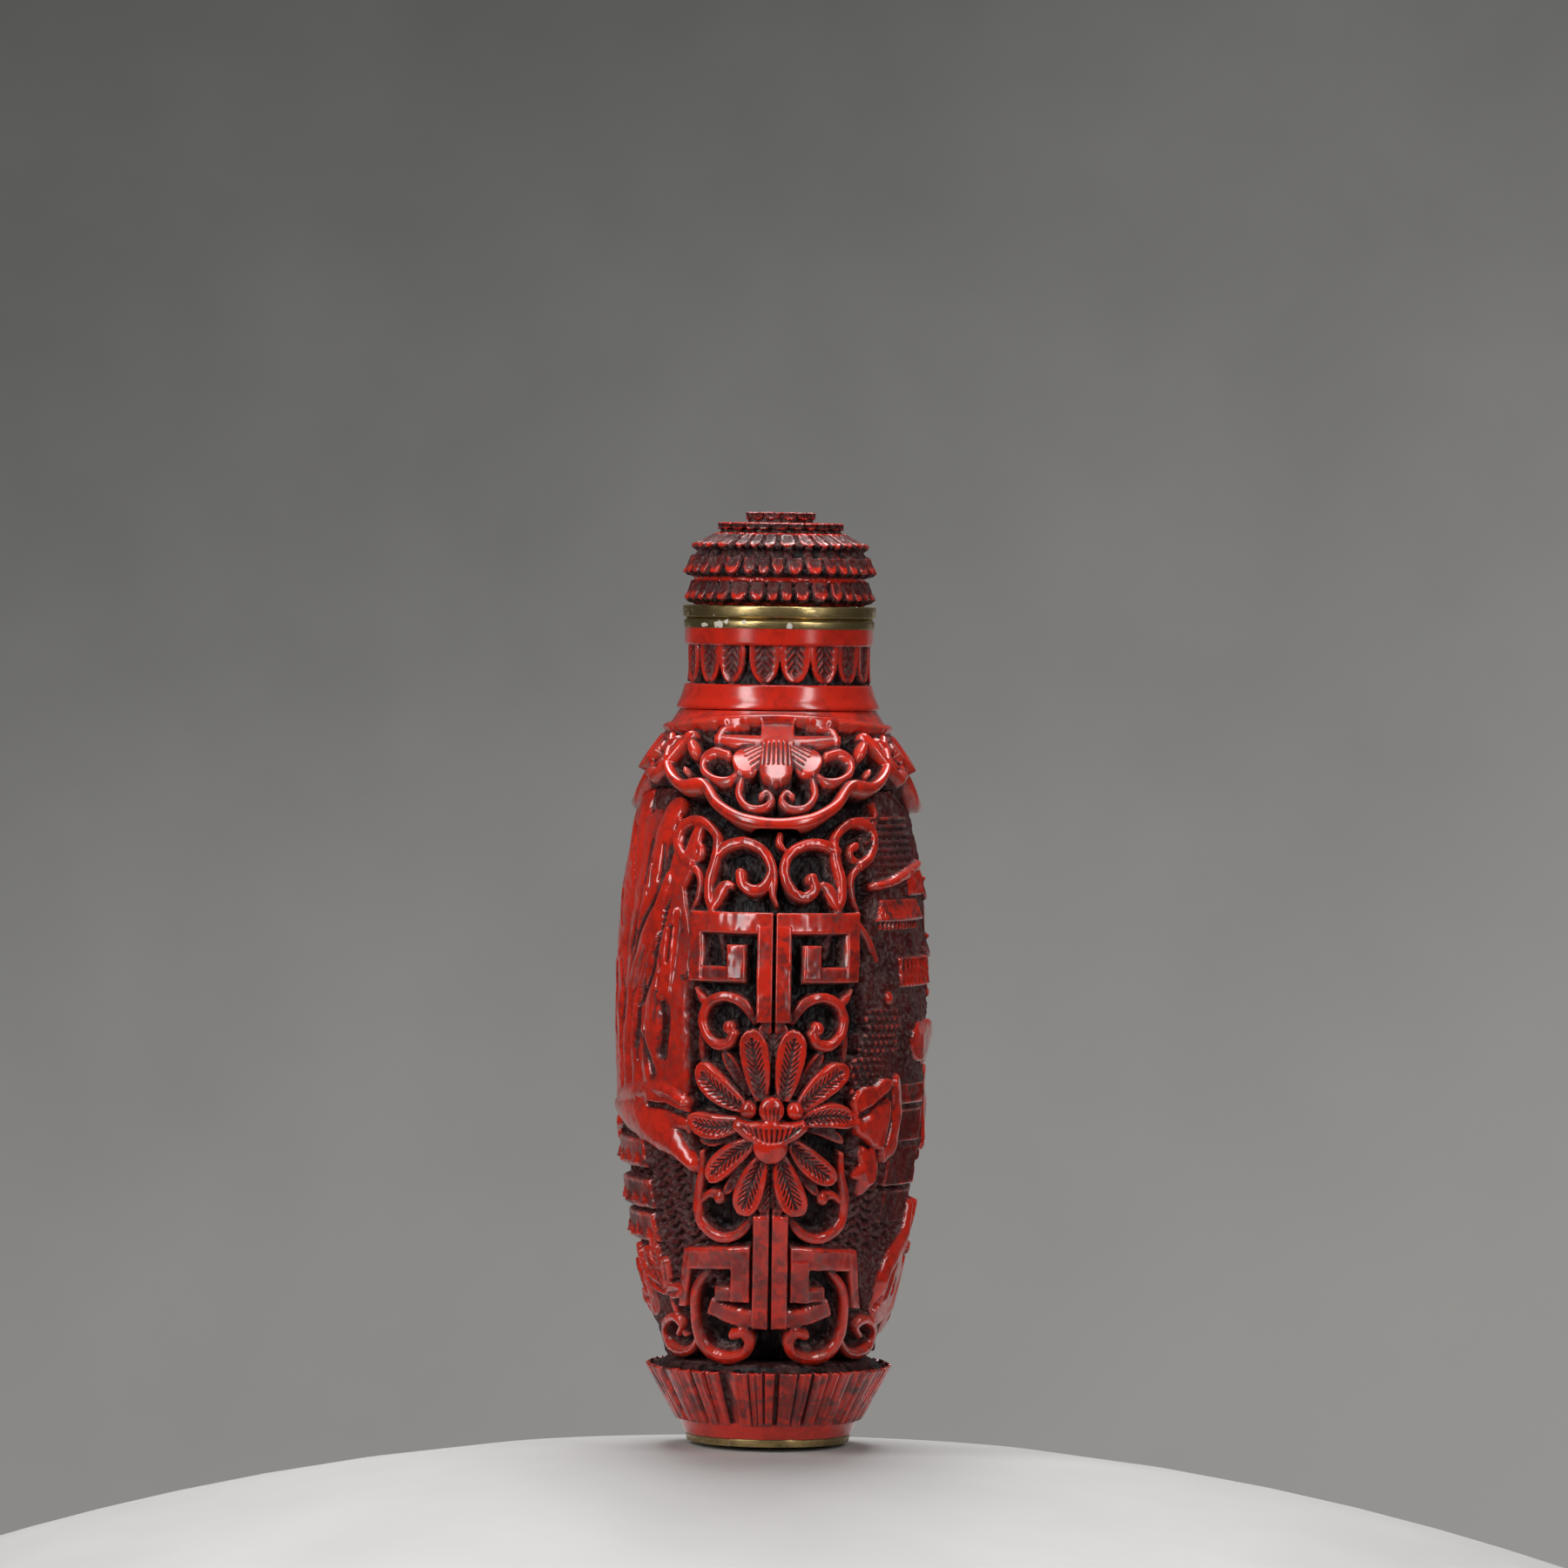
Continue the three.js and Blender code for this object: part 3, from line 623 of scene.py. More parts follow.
def lotus(face):
    top = tracery["petalTop"]

    def petal(base, tip, half, level, twin=True, **more):
        for side in (-1, 1) if twin else (1,):
            ends = unrolled([(side * base[0], base[1]), (side * tip[0], tip[1])])
            face.leaf(ends[0], ends[1], half, level, **more)

    petal((0, 30.3), (0, 37.0), 1.4, top - 0.5, twin=False, widest=0.86, tuck=0.9)
    petal((2.1, 30.4), (4.6, 34.3), 0.6, top - 0.6, veins=0.4)
    petal((1.0, 30.0), (2.0, 36.2), 1.3, top - 0.1, widest=0.66)
    petal((2.4, 27.7), (6.6, 26.5), 0.55, top - 0.6, bow=0.4, veins=0.4)
    petal((2.5, 29.4), (6.6, 33.0), 1.2, top - 0.05, bow=0.3)
    petal((2.5, 28.2), (7.3, 28.4), 1.05, top, bow=0.55)
    petal((1.2, 25.9), (4.3, 21.9), 0.6, top - 0.55, veins=0.3)
    petal((1.7, 26.5), (5.6, 23.2), 1.15, top - 0.05, bow=-0.25)
    petal((0, 25.4), (0, 19.8), 1.25, top - 0.45, twin=False, widest=0.75)
    petal((0.8, 25.2), (2.55, 20.2), 1.3, top - 0.05, widest=0.64, bow=-0.15)
    for x, z, r, lift in ((-2.15, 29.3, 0.75, 0.05), (2.05, 29.25, 0.75, 0.05), (-0.05, 29.3, 1.12, 0.25)):
        face.ball(unrolled([(x, z)])[0], r, top + lift, 0.35)
    for k in (-1.5, -0.5, 0.5, 1.5):
        face.groove([(k * 0.3, 28.6), (k * 0.38, 29.5)], 0.09, 0.2)
    cup = [(-2.9, 28.0), (-1.7, 27.5), (0, 27.3), (1.6, 27.5), (2.6, 27.95)]
    face.ribbon(cup, [0.5, 0.85, 1.05, 0.85, 0.5], top + 0.42, 0.22)
    face.ball((-0.1, 26.3), 1.5, top + 0.42, 0.3)
    for k in range(-5, 6):
        x, fall = k * 0.46, 0.045 * k * k
        face.groove([(x * 0.82, 26.7 + fall * 0.7), (x, 27.75 + fall * 0.2)], 0.14, 0.3)


def carveNarrow(face):
    for side in (-1, 1):
        scrolls(face, side)
    upperVolutes(face)
    for side in (-1, 1):
        frets(face, side)
    lotus(face)
    face.groove([(0, 36.0), (0, 46.1)], tracery["split"], 1.1, 1.2)
    face.groove([(0, 10.0), (0, 20.6)], tracery["split"], 1.1, 1.2)


# Wide faces: cliffs over the sea on the left, pavilions among rocks on the right


# Turns distances seen off the front's middle into distances from a wide face's middle
def fromFront(points, side):
    p = np.array(points, float)
    a, b, _ = bodySkin(p[:, 1])
    turn = np.arcsin(np.clip(p[:, 0] / a, 0, 0.995))
    reach = arcLength(np.full_like(turn, math.pi / 2), a, b, turn)
    return np.column_stack([-side * reach, *p.T[1:]])


def within(face, low, high, soft):  # 1 inside a rectangle of the face, 0 outside
    across = smoothStep(low[0], low[0] + soft, face.x) * (1 - smoothStep(high[0] - soft, high[0], face.x))
    above = smoothStep(low[1], low[1] + soft, face.z)
    return across * above * (1 - smoothStep(high[1] - soft, high[1], face.z))


def finger(face, middle, halves, top, crown, seed, strokes):
    face.ribbon(middle, halves, top, crown, grimeAndShade=0.06)
    dice = np.random.default_rng(seed)
    line = softCurve([(*point, half) for point, half in zip(middle, halves)])
    for _ in range(strokes):  # broken strokes down the rock
        share, begin = dice.uniform(-0.7, 0.7), dice.uniform(0.05, 0.6)
        end = begin + dice.uniform(0.15, 0.35)
        cut = line[int(begin * len(line)):int(min(end, 0.97) * len(line)):6]
        if len(cut) > 2:
            drift = np.linspace(-0.15, 0.15, len(cut))
            stroke = np.column_stack([cut[:, 0] + cut[:, 2] * (share + drift), cut[:, 1]])
            face.groove(stroke, dice.uniform(0.13, 0.22), dice.uniform(0.35, 0.7), 0.9)


def cleft(face, points, half=0.28, depth=0.75):
    face.groove(points, half * 2.6, depth * 0.4, 0.9)
    face.groove(points, half, depth * 0.75, 0.7)


def water(face, low, high, level=1.1, pitch=0.82):
    x, z = face.x, face.z
    swell = 0.3 * np.sin(x * 2.1 + 0.8 * np.sin(z * 0.9)) + 0.1 * np.sin(x * 5.1 + z * 1.3)
    wave = np.abs(np.sin((z + swell) / pitch * math.pi)) ** 0.7
    mask = within(face, low, high, 0.8)
    face.h += mask * (level - 0.8 + 0.8 * wave - face.h)
    face.grimeAndShade += mask * (0.3 - face.grimeAndShade)


def fan(face, centre, radius, top, lean=90.0, spread=115.0, strokes=11, grimeAndShade=0.45):
    spot = face.near(np.array([centre, centre], float), radius + 0.3)
    x, z = face.x[spot] - centre[0], face.z[spot] - centre[1]
    d = np.hypot(x, z)
    turn = (np.degrees(np.arctan2(z, x)) - lean + 180) % 360 - 180
    wobble = 1 + 0.1 * np.abs(np.cos(np.radians(turn) * strokes / 2 / math.radians(spread) * math.pi))
    e = np.maximum(d - radius * wobble * 0.92, (np.abs(turn) - spread) * d * 0.012)
    ridge = np.abs(np.sin(np.radians(turn) / math.radians(spread) * strokes * math.pi / 2))
    level = top - 0.3 * (d / radius) ** 2 - 0.22 * (1 - ridge) * np.clip(d / radius * 2 - 0.4, 0, 1)
    level = level - 0.18 * (np.abs(d / radius - 0.38) < 0.07)
    face.pile(spot, e, level, grimeAndShade=grimeAndShade)


def tree(face, foot, crown, seed, clusters=7, spread=2.6):
    dice = np.random.default_rng(seed)
    bend = dice.uniform(-1.0, 1.0)
    trunk = [(foot[0], foot[1]), (foot[0] + bend, (foot[1] + crown[1]) / 2), crown]
    face.ribbon(trunk, [0.5, 0.38, 0.28], [1.5, 1.7, 1.6], 0.25, grimeAndShade=0.2)
    for k in range(clusters):
        turn = k / clusters * math.tau + dice.uniform(-0.3, 0.3)
        reach = spread * dice.uniform(0.45, 1.0)
        at = (crown[0] + reach * math.cos(turn), crown[1] + 0.62 * reach * math.sin(turn))
        elbow = ((crown[0] + at[0]) / 2, (crown[1] + at[1]) / 2 + 0.3)
        face.ribbon([crown, elbow, at], [0.22, 0.2, 0.16], 1.5)
        fan(face, (at[0], at[1] - 0.4), dice.uniform(0.95, 1.3), 1.75 + dice.uniform(0, 0.2), 90, 115, 9)


def rock(face, centre, size, seed, top=1.85, holes=0):
    dice = np.random.default_rng(seed)
    spot = face.near(np.array([centre, centre], float), max(size) * 1.3 + 0.4)
    x, z = (face.x[spot] - centre[0]) / size[0], (face.z[spot] - centre[1]) / size[1]
    turn, d = np.arctan2(z, x), np.hypot(x, z)
    outline = 1 + sum(dice.uniform(-0.13, 0.13) * np.cos(k * turn + dice.uniform(0, 6)) for k in range(2, 7))
    e = (d - outline) * min(size)
    level = np.full_like(x, top)
    for _ in range(6):  # broad facets
        lean, fall = dice.uniform(0, math.tau), dice.uniform(0.35, 0.7)
        level = np.minimum(level, top + 0.25 - (x * math.cos(lean) + z * math.sin(lean)) * fall)
    face.pile(spot, e, level, grimeAndShade=0.12)
    for _ in range(holes):
        at = np.array(centre) + dice.uniform(-0.45, 0.45, 2) * size
        face.pit(at, dice.uniform(0.4, 0.6), dice.uniform(0.6, 1.0), 0.9)


def roof(face, low, high, top=1.9, pitch=0.36, flare=0.5):
    middle, half = (low[0] + high[0]) / 2, (high[0] - low[0]) / 2
    spot = face.near(np.array([low, high], float), 0.8)
    x, z = face.x[spot] - middle, face.z[spot]
    sweep = flare * (np.abs(x) / half) ** 3
    share = np.clip((z - low[1] - sweep) / (high[1] - low[1]), 0, 1)
    ends = np.abs(x) - half * (1 - 0.22 * share)
    e = np.maximum(ends, np.maximum(low[1] + sweep - z, z - high[1] - sweep * 0.4))
    tiles = np.abs(np.sin(x / pitch * math.pi)) ** 0.7
    level = top - 0.35 * share - 0.2 * (1 - tiles) * (share > 0.14) * (share < 0.9)
    face.pile(spot, e, level, grimeAndShade=0.55)


def pavilion(face, x, z, width, storeys):
    for k in range(storeys):
        half, foot = width / 2 * (1 - 0.18 * k), z + k * 4.9
        face.slab((x - half * 0.86, foot), (x + half * 0.86, foot + 3.1), 1.05, grimeAndShade=0.7)
        for j in range(int(half * 2)):  # lattice between the posts
            at = x - half * 0.8 + j * half * 1.6 / max(int(half * 2) - 1, 1)
            face.slab((at - 0.11, foot + 0.9), (at + 0.11, foot + 2.8), 1.32, grimeAndShade=0.5)
        for side in (-1, -0.33, 0.33, 1):
            post = x + side * half * 0.8
            face.slab((post - 0.24, foot), (post + 0.24, foot + 3.1), 1.6, grimeAndShade=0.25)
        face.slab((x - half, foot - 0.25), (x + half, foot + 0.35), 1.75, grimeAndShade=0.35)
        face.slab((x - half * 0.9, foot + 0.75), (x + half * 0.9, foot + 1.0), 1.5, grimeAndShade=0.4)
        for j in range(int(half * 3.4)):
            at = x - half + 0.3 + j * (half * 2 - 0.6) / max(int(half * 3.4) - 1, 1)
            face.slab((at - 0.13, foot + 2.75), (at + 0.13, foot + 3.2), 1.6, grimeAndShade=0.4)
        roof(face, (x - half * 1.22, foot + 3.1), (x + half * 1.22, foot + 4.9), 1.95)
        ridge = [(x - half * 0.8, foot + 4.95), (x, foot + 4.85), (x + half * 0.8, foot + 4.95)]
        face.ribbon(ridge, 0.24, 1.95)


def scaleField(face, corners, half, pitch, top):
    line = np.array(corners, float)
    spot = face.near(line, half + 0.3)
    d, _, _ = face.along(spot, line)
    x, z = face.x[spot], face.z[spot]
    row = np.floor(z / pitch)
    u = (x / pitch / 1.25 + 0.5 * (row % 2)) % 1 - 0.5
    v = z / pitch - row
    knob = np.clip(1 - np.hypot(u * 2.0, (v - 0.5) * 1.7) ** 3, 0, 1)
    face.pile(spot, d - half, top - 0.55 + 0.55 * knob, grimeAndShade=0.75)


def steps(face, low, high, count, top=1.6):
    rise = (high[1] - low[1]) / count
    for k in range(count):
        share = k / count
        left = low[0] + (high[0] - low[0]) * share * 0.45
        tread = low[1] + k * rise, low[1] + (k + 0.8) * rise
        face.slab((left, tread[0]), (high[0], tread[1]), top - 0.5 * share, grimeAndShade=0.5)


cliff = {
    "low": (-16.0, 27.0),
    "high": (20.0, 54.6),
    "level": 1.72,
    # fingers of rock: line down, half-widths, top, crown, seed, strokes
    "fingers": [
        ([(4.6, 54.6), (5.0, 50.5), (4.6, 46.2), (4.0, 42.2)], [1.8, 3.3, 3.6, 1.5], 2.3, 0.55, 2, 6),
        ([(12.0, 54.2), (12.1, 50.7), (11.9, 47.6), (10.8, 44.6), (10.0, 41.5)], [1.5, 1.9, 1.8, 1.2, 0.8],
         2.15, 0.4, 3, 4),
        ([(14.6, 48.5), (13.2, 44.6), (10.8, 41.0), (9.2, 38.0), (8.2, 34.0), (8.4, 29.6)],
         [1.0, 1.6, 1.7, 1.5, 1.6, 1.2], 2.2, 0.4, 4, 4),
        ([(14.8, 43.6), (13.5, 41.0), (12.1, 38.5), (11.2, 36.0), (10.9, 32.0), (11.2, 29.0)],
         [0.7, 1.2, 1.3, 1.2, 1.3, 1.0], 2.15, 0.4, 5, 3),
        ([(17.1, 45.8), (16.5, 42.5), (15.8, 39.0), (15.0, 36.0), (14.4, 33.0), (14.2, 30.0)],
         [0.5, 1.3, 1.9, 2.2, 2.2, 1.6], 2.25, 0.35, 6, 4),
        ([(16.6, 53.0), (16.8, 50.0), (16.3, 47.2)], [0.7, 1.1, 0.7], 1.75, 0.2, 7, 0),
        ([(4.4, 43.0), (4.6, 39.5), (5.0, 35.0), (4.4, 30.0)], [1.6, 2.4, 2.4, 1.7], 2.1, 0.5, 8, 5),
        ([(-1.6, 54.0), (-2.4, 48.0), (-1.8, 41.0), (-2.6, 34.0), (-2.0, 29.0)], [1.4, 2.6, 2.8, 2.6, 1.8],
         2.15, 0.6, 9, 6),
        ([(-7.6, 54.4), (-8.0, 48.0), (-7.2, 40.0), (-8.2, 32.0)], [1.6, 2.5, 2.4, 2.2], 2.2, 0.5, 10, 6),
        ([(-12.8, 52.6), (-13.0, 46.0), (-12.2, 39.0), (-13.2, 31.0)], [1.2, 2.2, 2.3, 2.0], 2.1, 0.5, 11, 5),
    ],
    "clefts": [
        [(9.9, 51.5), (10.2, 47.6), (9.5, 44.6), (8.4, 42.6)],
        [(14.1, 51.0), (13.8, 47.6), (11.8, 45.2), (10.8, 43.9), (8.6, 39.7), (7.3, 36.4)],
        [(15.0, 42.6), (14.6, 40.4), (12.4, 38.0), (11.4, 34.7)],
        [(16.8, 38.0), (17.0, 36.4), (16.6, 33.9)],
        [(13.2, 34.8), (14.6, 33.2), (15.0, 32.2)],
        [(7.0, 38.4), (6.6, 35.5), (7.2, 32.4)],
        [(1.4, 52.0), (1.2, 46.0), (1.8, 39.0), (1.0, 32.0)],
        [(-5.0, 52.0), (-5.2, 45.0), (-4.4, 38.0), (-5.4, 31.0)],
        [(-10.4, 51.0), (-10.6, 44.0), (-9.6, 36.0)],
    ],
}


def carveLeft(face, wide):
    water(face, (-16.5, 13.0), (18.2, 27.0), 1.2)
    mass = within(face, cliff["low"], cliff["high"], 0.8) * wide
    face.plate(mass, cliff["level"] + 0.12 * np.sin(face.x * 0.9 + 0.15 * face.z), 0.12)
    for line, halves, *rest in cliff["fingers"]:
        finger(face, line, halves, *rest)
    for points in cliff["clefts"]:
        cleft(face, points)
    for k in range(7):  # short hatches between two rocks
        z = 46.8 - k * 0.55
        face.groove([(15.9 - k * 0.08, z), (15.3 - k * 0.08, z - 0.75)], 0.13, 0.5, 0.8)
    brow = fromFront([(13.0, 29.7), (11.4, 30.6), (9.4, 30.9), (7.6, 29.8)], -1)
    face.ribbon(brow, [0.8, 0.9, 0.8, 0.5], 2.35, 0.5, grimeAndShade=0.05)
    shelf = fromFront([(13.25, 28.9), (11.8, 28.4), (10.2, 27.5), (8.6, 26.2), (7.0, 24.6)], -1)
    face.ribbon(shelf, [1.2, 1.6, 2.0, 1.8, 0.9], [2.3, 2.4, 2.5, 2.45, 2.2], 0.75, grimeAndShade=0.05)
    face.groove(fromFront([(10.6, 29.4), (9.2, 29.2), (7.4, 28.6)], -1), 0.3, 0.8)
    rock(face, (-9.5, 27.0), (3.6, 1.9), 21, 2.1)
    rock(face, (-3.0, 27.2), (3.4, 1.6), 22, 2.1)
    tree(face, (0.6, 28.0), (-0.6, 36.6), 31, 8, 2.4)
    tree(face, (-9.4, 28.4), (-10.0, 39.0), 32, 6, 2.2)
    for row, (z, reach) in enumerate(((25.1, 11.4), (21.6, 11.8), (18.7, 11.2))):  # banks with ringed ends
        face.slab((-3.0 - row, z - 1.25), (reach, z + 1.25), 1.85, grimeAndShade=0.5)
        for k in range(5):
            at = (reach - 1.6 - k * 2.9, z - 0.9 + 0.2 * (k % 2))
            for radius, top in ((1.7, 2.0), (1.15, 2.15), (0.6, 2.3)):
                fan(face, at, radius, top, 90, 105, 13, 0.4)
    rock(face, (-9.6, 20.6), (3.4, 2.6), 24, 1.9)
    rock(face, (-2.4, 12.6), (4.2, 2.8), 25, 1.9, holes=2)
    rock(face, (3.4, 13.4), (3.0, 3.0), 26, 1.8)
    rock(face, (-9.0, 12.6), (3.0, 3.0), 27, 1.85)
    tips = ((9.9, 18.3), (7.7, 17.0), (11.6, 16.2), (6.0, 14.6), (13.0, 13.6))
    bamboo(face, (9.6, 9.2), (9.9, 13.0), tips, 41)
    bamboo(face, (5.6, 8.0), (4.6, 12.2), ((4.9, 17.2), (2.6, 15.8), (6.6, 15.0), (1.4, 12.6)), 42)
    bamboo(face, (-5.6, 9.4), (-5.9, 13.0), ((-5.6, 17.8), (-7.8, 16.4), (-3.9, 16.4), (-8.6, 13.6)), 43)


def bamboo(face, foot, joint, tips, seed):
    dice = np.random.default_rng(seed)
    face.ribbon([foot, joint], 0.3, 1.7, square=True)
    for tip in tips:
        face.leaf(joint, tip, dice.uniform(0.55, 0.72), dice.uniform(1.95, 2.25), 0.45, 0.12, 0.5, tuck=0.5)


def carveRight(face):
    water(face, (-19.5, 16.0), (15.5, 26.0), 1.2)

    def seen(points):
        return fromFront(points, 1)

    def blockSeen(low, high, top, grimeAndShade):  # a block with upright striations
        ends = seen([low, high])
        spot, e = face.slab(ends.min(0), ends.max(0), top, grimeAndShade=grimeAndShade)
        lines = 1 - np.abs(np.sin((face.x[spot] + 0.12 * np.sin(face.z[spot] * 2)) / 0.5 * math.pi))
        face.h[spot] -= np.where(e < -0.2, 0.3 * lines, 0)

    pavilion(face, 1.4, 38.8, 9.0, 2)
    pavilion(face, 10.6, 33.6, 6.4, 1)
    tree(face, (11.0, 39.0), (10.6, 46.4), 62, 8, 3.0)
    blockSeen((8.6, 48.2), (12.9, 52.6), 1.6, 0.8)
    for k in range(8):  # thatch under the collar
        z = 54.0 - k * 0.66
        low, high = (-16.0 + 0.4 * (k % 3), z - 0.2), (-6.5 - 0.3 * (k % 2), z + 0.22)
        face.slab(low, high, 1.9 - 0.03 * k, grimeAndShade=0.7)
    eave = seen([(8.6, 48.3), (9.8, 48.5), (11.2, 49.2), (12.3, 50.0)])
    face.ribbon(eave, [0.35, 0.45, 0.5, 0.4], 2.2, 0.3)
    blockSeen((11.6, 47.4), (12.5, 49.6), 2.0, 0.2)
    low, high = seen([(8.75, 45.4), (12.4, 47.2)])
    roof(face, (low[0], 45.3), (high[0], 47.2), 2.25, 0.42, 0.05)
    for k in range(12):
        x = low[0] + 0.5 + k * 0.74
        face.slab((x, 44.6), (x + 0.36, 45.4), 1.8, grimeAndShade=0.35)
    blockSeen((9.0, 42.6), (12.2, 44.4), 0.9, 0.9)
    blockSeen((10.9, 39.7), (13.2, 42.2), 2.05, 0.5)
    blockSeen((9.0, 39.8), (10.8, 42.0), 1.3, 0.7)
    for k in range(9):
        x = seen([(11.1, 41.0)])[0][0] + k * 0.95
        face.groove([(x, 39.9), (x + 0.1, 42.0)], 0.14, 0.3, 0.8)
    face.ribbon(seen([(7.4, 45.2), (8.4, 43.8), (9.1, 41.9)]), [0.3, 0.34, 0.4], 1.8, square=True)
    face.ball(seen([(10.1, 38.8)])[0], 0.68, 2.0, 0.45)
    for low, high in (((8.2, 35.9), (11.0, 38.0)), ((7.4, 34.1), (10.9, 35.8)), ((6.9, 31.4), (9.4, 33.9)),
                      ((6.7, 29.9), (8.4, 31.6))):
        ends, middle = seen([low, high]), (low[1] + high[1]) / 2
        strip = [(ends[0][0] + 0.9, middle), (ends[1][0] - 0.9, middle)]
        scaleField(face, strip, (high[1] - low[1]) / 2, 0.68, 1.85)
    blockSeen((11.2, 33.6), (12.3, 38.4), 1.5, 0.85)
    blockSeen((9.6, 31.6), (11.8, 33.8), 1.7, 0.65)
    for at, size, seed, top in (((12.9, 34.9), (3.2, 2.0), 71, 2.2), ((8.9, 29.2), (2.7, 3.0), 72, 2.45),
                                ((10.0, 28.4), (1.9, 3.6), 73, 2.35), ((8.3, 24.3), (1.5, 1.9), 74, 2.1)):
        rock(face, tuple(seen([at])[0]), size, seed, top)
    cleft(face, seen([(7.6, 28.9), (8.8, 29.8), (9.8, 30.6)]), 0.2, 0.8)
    cleft(face, seen([(10.0, 31.2), (10.0, 28.6), (9.6, 26.4)]), 0.2, 0.8)
    stack = (((10.9, 29.6), (13.0, 31.4)), ((10.9, 26.4), (12.9, 29.2)), ((9.8, 22.6), (12.7, 26.0)),
             ((9.4, 19.4), (12.1, 22.2)))
    for k, (low, high) in enumerate(stack):
        blockSeen(low, high, 1.95 - 0.1 * k, 0.6)
    steps(face, (-2.4, 24.4), (2.2, 33.0), 8)
    rock(face, (4.4, 28.6), (2.8, 3.8), 75, 2.1)
    rock(face, (9.8, 27.8), (3.2, 4.0), 76, 2.0)
    rock(face, (14.0, 30.4), (2.4, 4.6), 77, 2.1)
    ridge = seen([(12.2, 20.6), (11.6, 17.8), (10.3, 15.6), (9.6, 13.2), (9.2, 11.0)])
    face.ribbon(ridge, [0.6, 1.0, 1.2, 1.25, 0.7], [2.0, 2.2, 2.25, 2.2, 1.9], 0.5, grimeAndShade=0.1)
    blockSeen((8.2, 14.4), (9.8, 17.2), 0.9, 0.9)
    face.pit(seen([(9.3, 12.4)])[0], 0.45, 0.75, 1.2)
    for at, size, seed, holes in (((-5.4, 13.8), (2.6, 3.6), 78, 1), ((-0.6, 12.6), (3.0, 3.4), 80, 2),
                                  ((4.6, 12.6), (3.4, 3.2), 81, 2), ((10.0, 14.2), (3.2, 3.2), 82, 1)):
        rock(face, at, size, seed, 1.95, holes=holes)
    bamboo(face, (1.6, 13.6), (1.4, 16.6), ((1.4, 21.0), (-0.8, 19.6), (3.4, 19.4), (-1.6, 17.0)), 91)
    bamboo(face, (11.8, 16.0), (12.0, 18.4), ((12.0, 22.4), (10.0, 21.2), (13.8, 21.0)), 92)


bodyGrain = {
    "rows": 392,
    "columns": {"front": 224, "right": 196, "back": 120, "left": 196},
    "cell": 0.13,  # a mesh cell's size, which sets how far the edge wear, painted highlight and painted shade reach
    "girth": 110,
    "borderHeights": [8, 12, 16, 20, 24, 28, 32, 40, 46, 50, 55],
    "leftBorder": [8.6, 8.4, 7.6, 6.6, 6.7, 7.0, 7.3, 7.2, 7.3, 8.2, 9.0],  # where the open ground gives way
    "rightBorder": [9.2, 8.6, 7.7, 7.1, 7.2, 7.2, 7.5, 8.2, 8.5, 8.6, 8.8],
}


def carveBody():
    corner, quarter = bodyShape["corner"], math.pi / 2
    ends = [-corner, corner, 2 * quarter - corner, 2 * quarter + corner, 4 * quarter - corner]
    spans = list(zip(ends, ends[1:], bodyGrain["columns"].values()))
    turns = np.concatenate([np.linspace(low, high, count + 1)[:-1] for low, high, count in spans])
    turns = np.append(turns, 4 * quarter - corner)
    stations = np.linspace(bodyShape["foot"], bodyShape["top"], bodyGrain["rows"] + 1)
    turn, z = np.meshgrid(turns, stations)
    height, grimeAndShade = np.zeros_like(turn), np.zeros_like(turn)

    def noise(cell, seed):
        return ringNoise(turn, z, bodyGrain["girth"], cell, seed)

    rugged = noise(0.7, 3) * 0.3 + noise(0.25, 4) * 0.12
    seen = bodySkin(z)[0] * np.sin(turn)  # distance off the middle as seen from the front
    heights, leftLine, rightLine = (bodyGrain[key] for key in ("borderHeights", "leftBorder", "rightBorder"))
    border = np.where(seen < 0, np.interp(z, heights, leftLine), np.interp(z, heights, rightLine))
    border = border + (noise(1.6, 5) - 0.5) * 0.7
    wide = smoothStep(0, 0.35, np.abs(seen) - border)
    height += rugged * (1 - wide) + wide * (1.0 + 0.45 * noise(1.3, 6) + rugged * 0.7)
    grimeAndShade += wide * 0.7
    front, right, back, left = facesOf(bodySkin, turn, z, height, grimeAndShade)
    carveLeft(left, wide)
    carveRight(right)
    carveNarrow(front)
    carveNarrow(back)
    relief = bodyShape["relief"]
    uneven = (noise(1.7, 9) - 0.5) * 0.16 + (noise(0.55, 10) - 0.5) * 0.06  # the carver's hand
    height += uneven * smoothStep(0.5, 0.9, height / relief)
    tone = toneOf(height, relief, grimeAndShade, bodyGrain["cell"])
    outer = onSurface(bodySkin, turn, z, height - relief)
    begin = 0
    for side, count in bodyGrain["columns"].items():
        name = "carved" + side.capitalize()
        part = slice(begin, begin + count + 1)
        begin += count
        inner = innerWall(bodySkin, stations, turns[part], relief + bodyShape["wall"])
        mesh = gridShell(name, outer[:, part], [t[:, part] for t in tone], inner)
        finishPiece(mesh, name, lacquer, "bottle_body")


carveBody()


# Collar on the shoulder: four lobes, each with a palmette between scrolls

collarShape = {
    "foot": 53.0,
    "top": 63.1,
    "rows": 86,
    "columns": 656,
    "cell": 0.13,
    "wall": 4.9,
    "heights": [53.2, 55, 56.4, 58.2, 60, 61.5, 62.2, 63.2],
    "thin": [12.6, 12.5, 12.35, 11.75, 10.75, 9.75, 9.25, 8.6],
    "wide": [19.4, 18.5, 17.4, 15.5, 13.2, 11.0, 10.0, 8.8],
    "relief": 2.4,
    # the rim of one half-lobe, as seen
    "edge": [(0, 53.65), (1.8, 53.8), (3.6, 54.25), (5.4, 55.4), (6.5, 56.9), (8.3, 56.75), (9.4, 57.6),
             (9.7, 59.0), (9.3, 60.7)],
    "sideShare": 0.86,  # lobes on the wide faces are this much smaller, drawn up towards this height
    "sideTop": 62.0,
    "brink": 62.55,  # where the cord round the collar's top runs, and how far it dips towards the wide faces
    "dip": 1.05,
}


def collarSkin(z):
    thin = hermite(z, collarShape["heights"], collarShape["thin"])
    return thin, hermite(z, collarShape["heights"], collarShape["wide"]), z


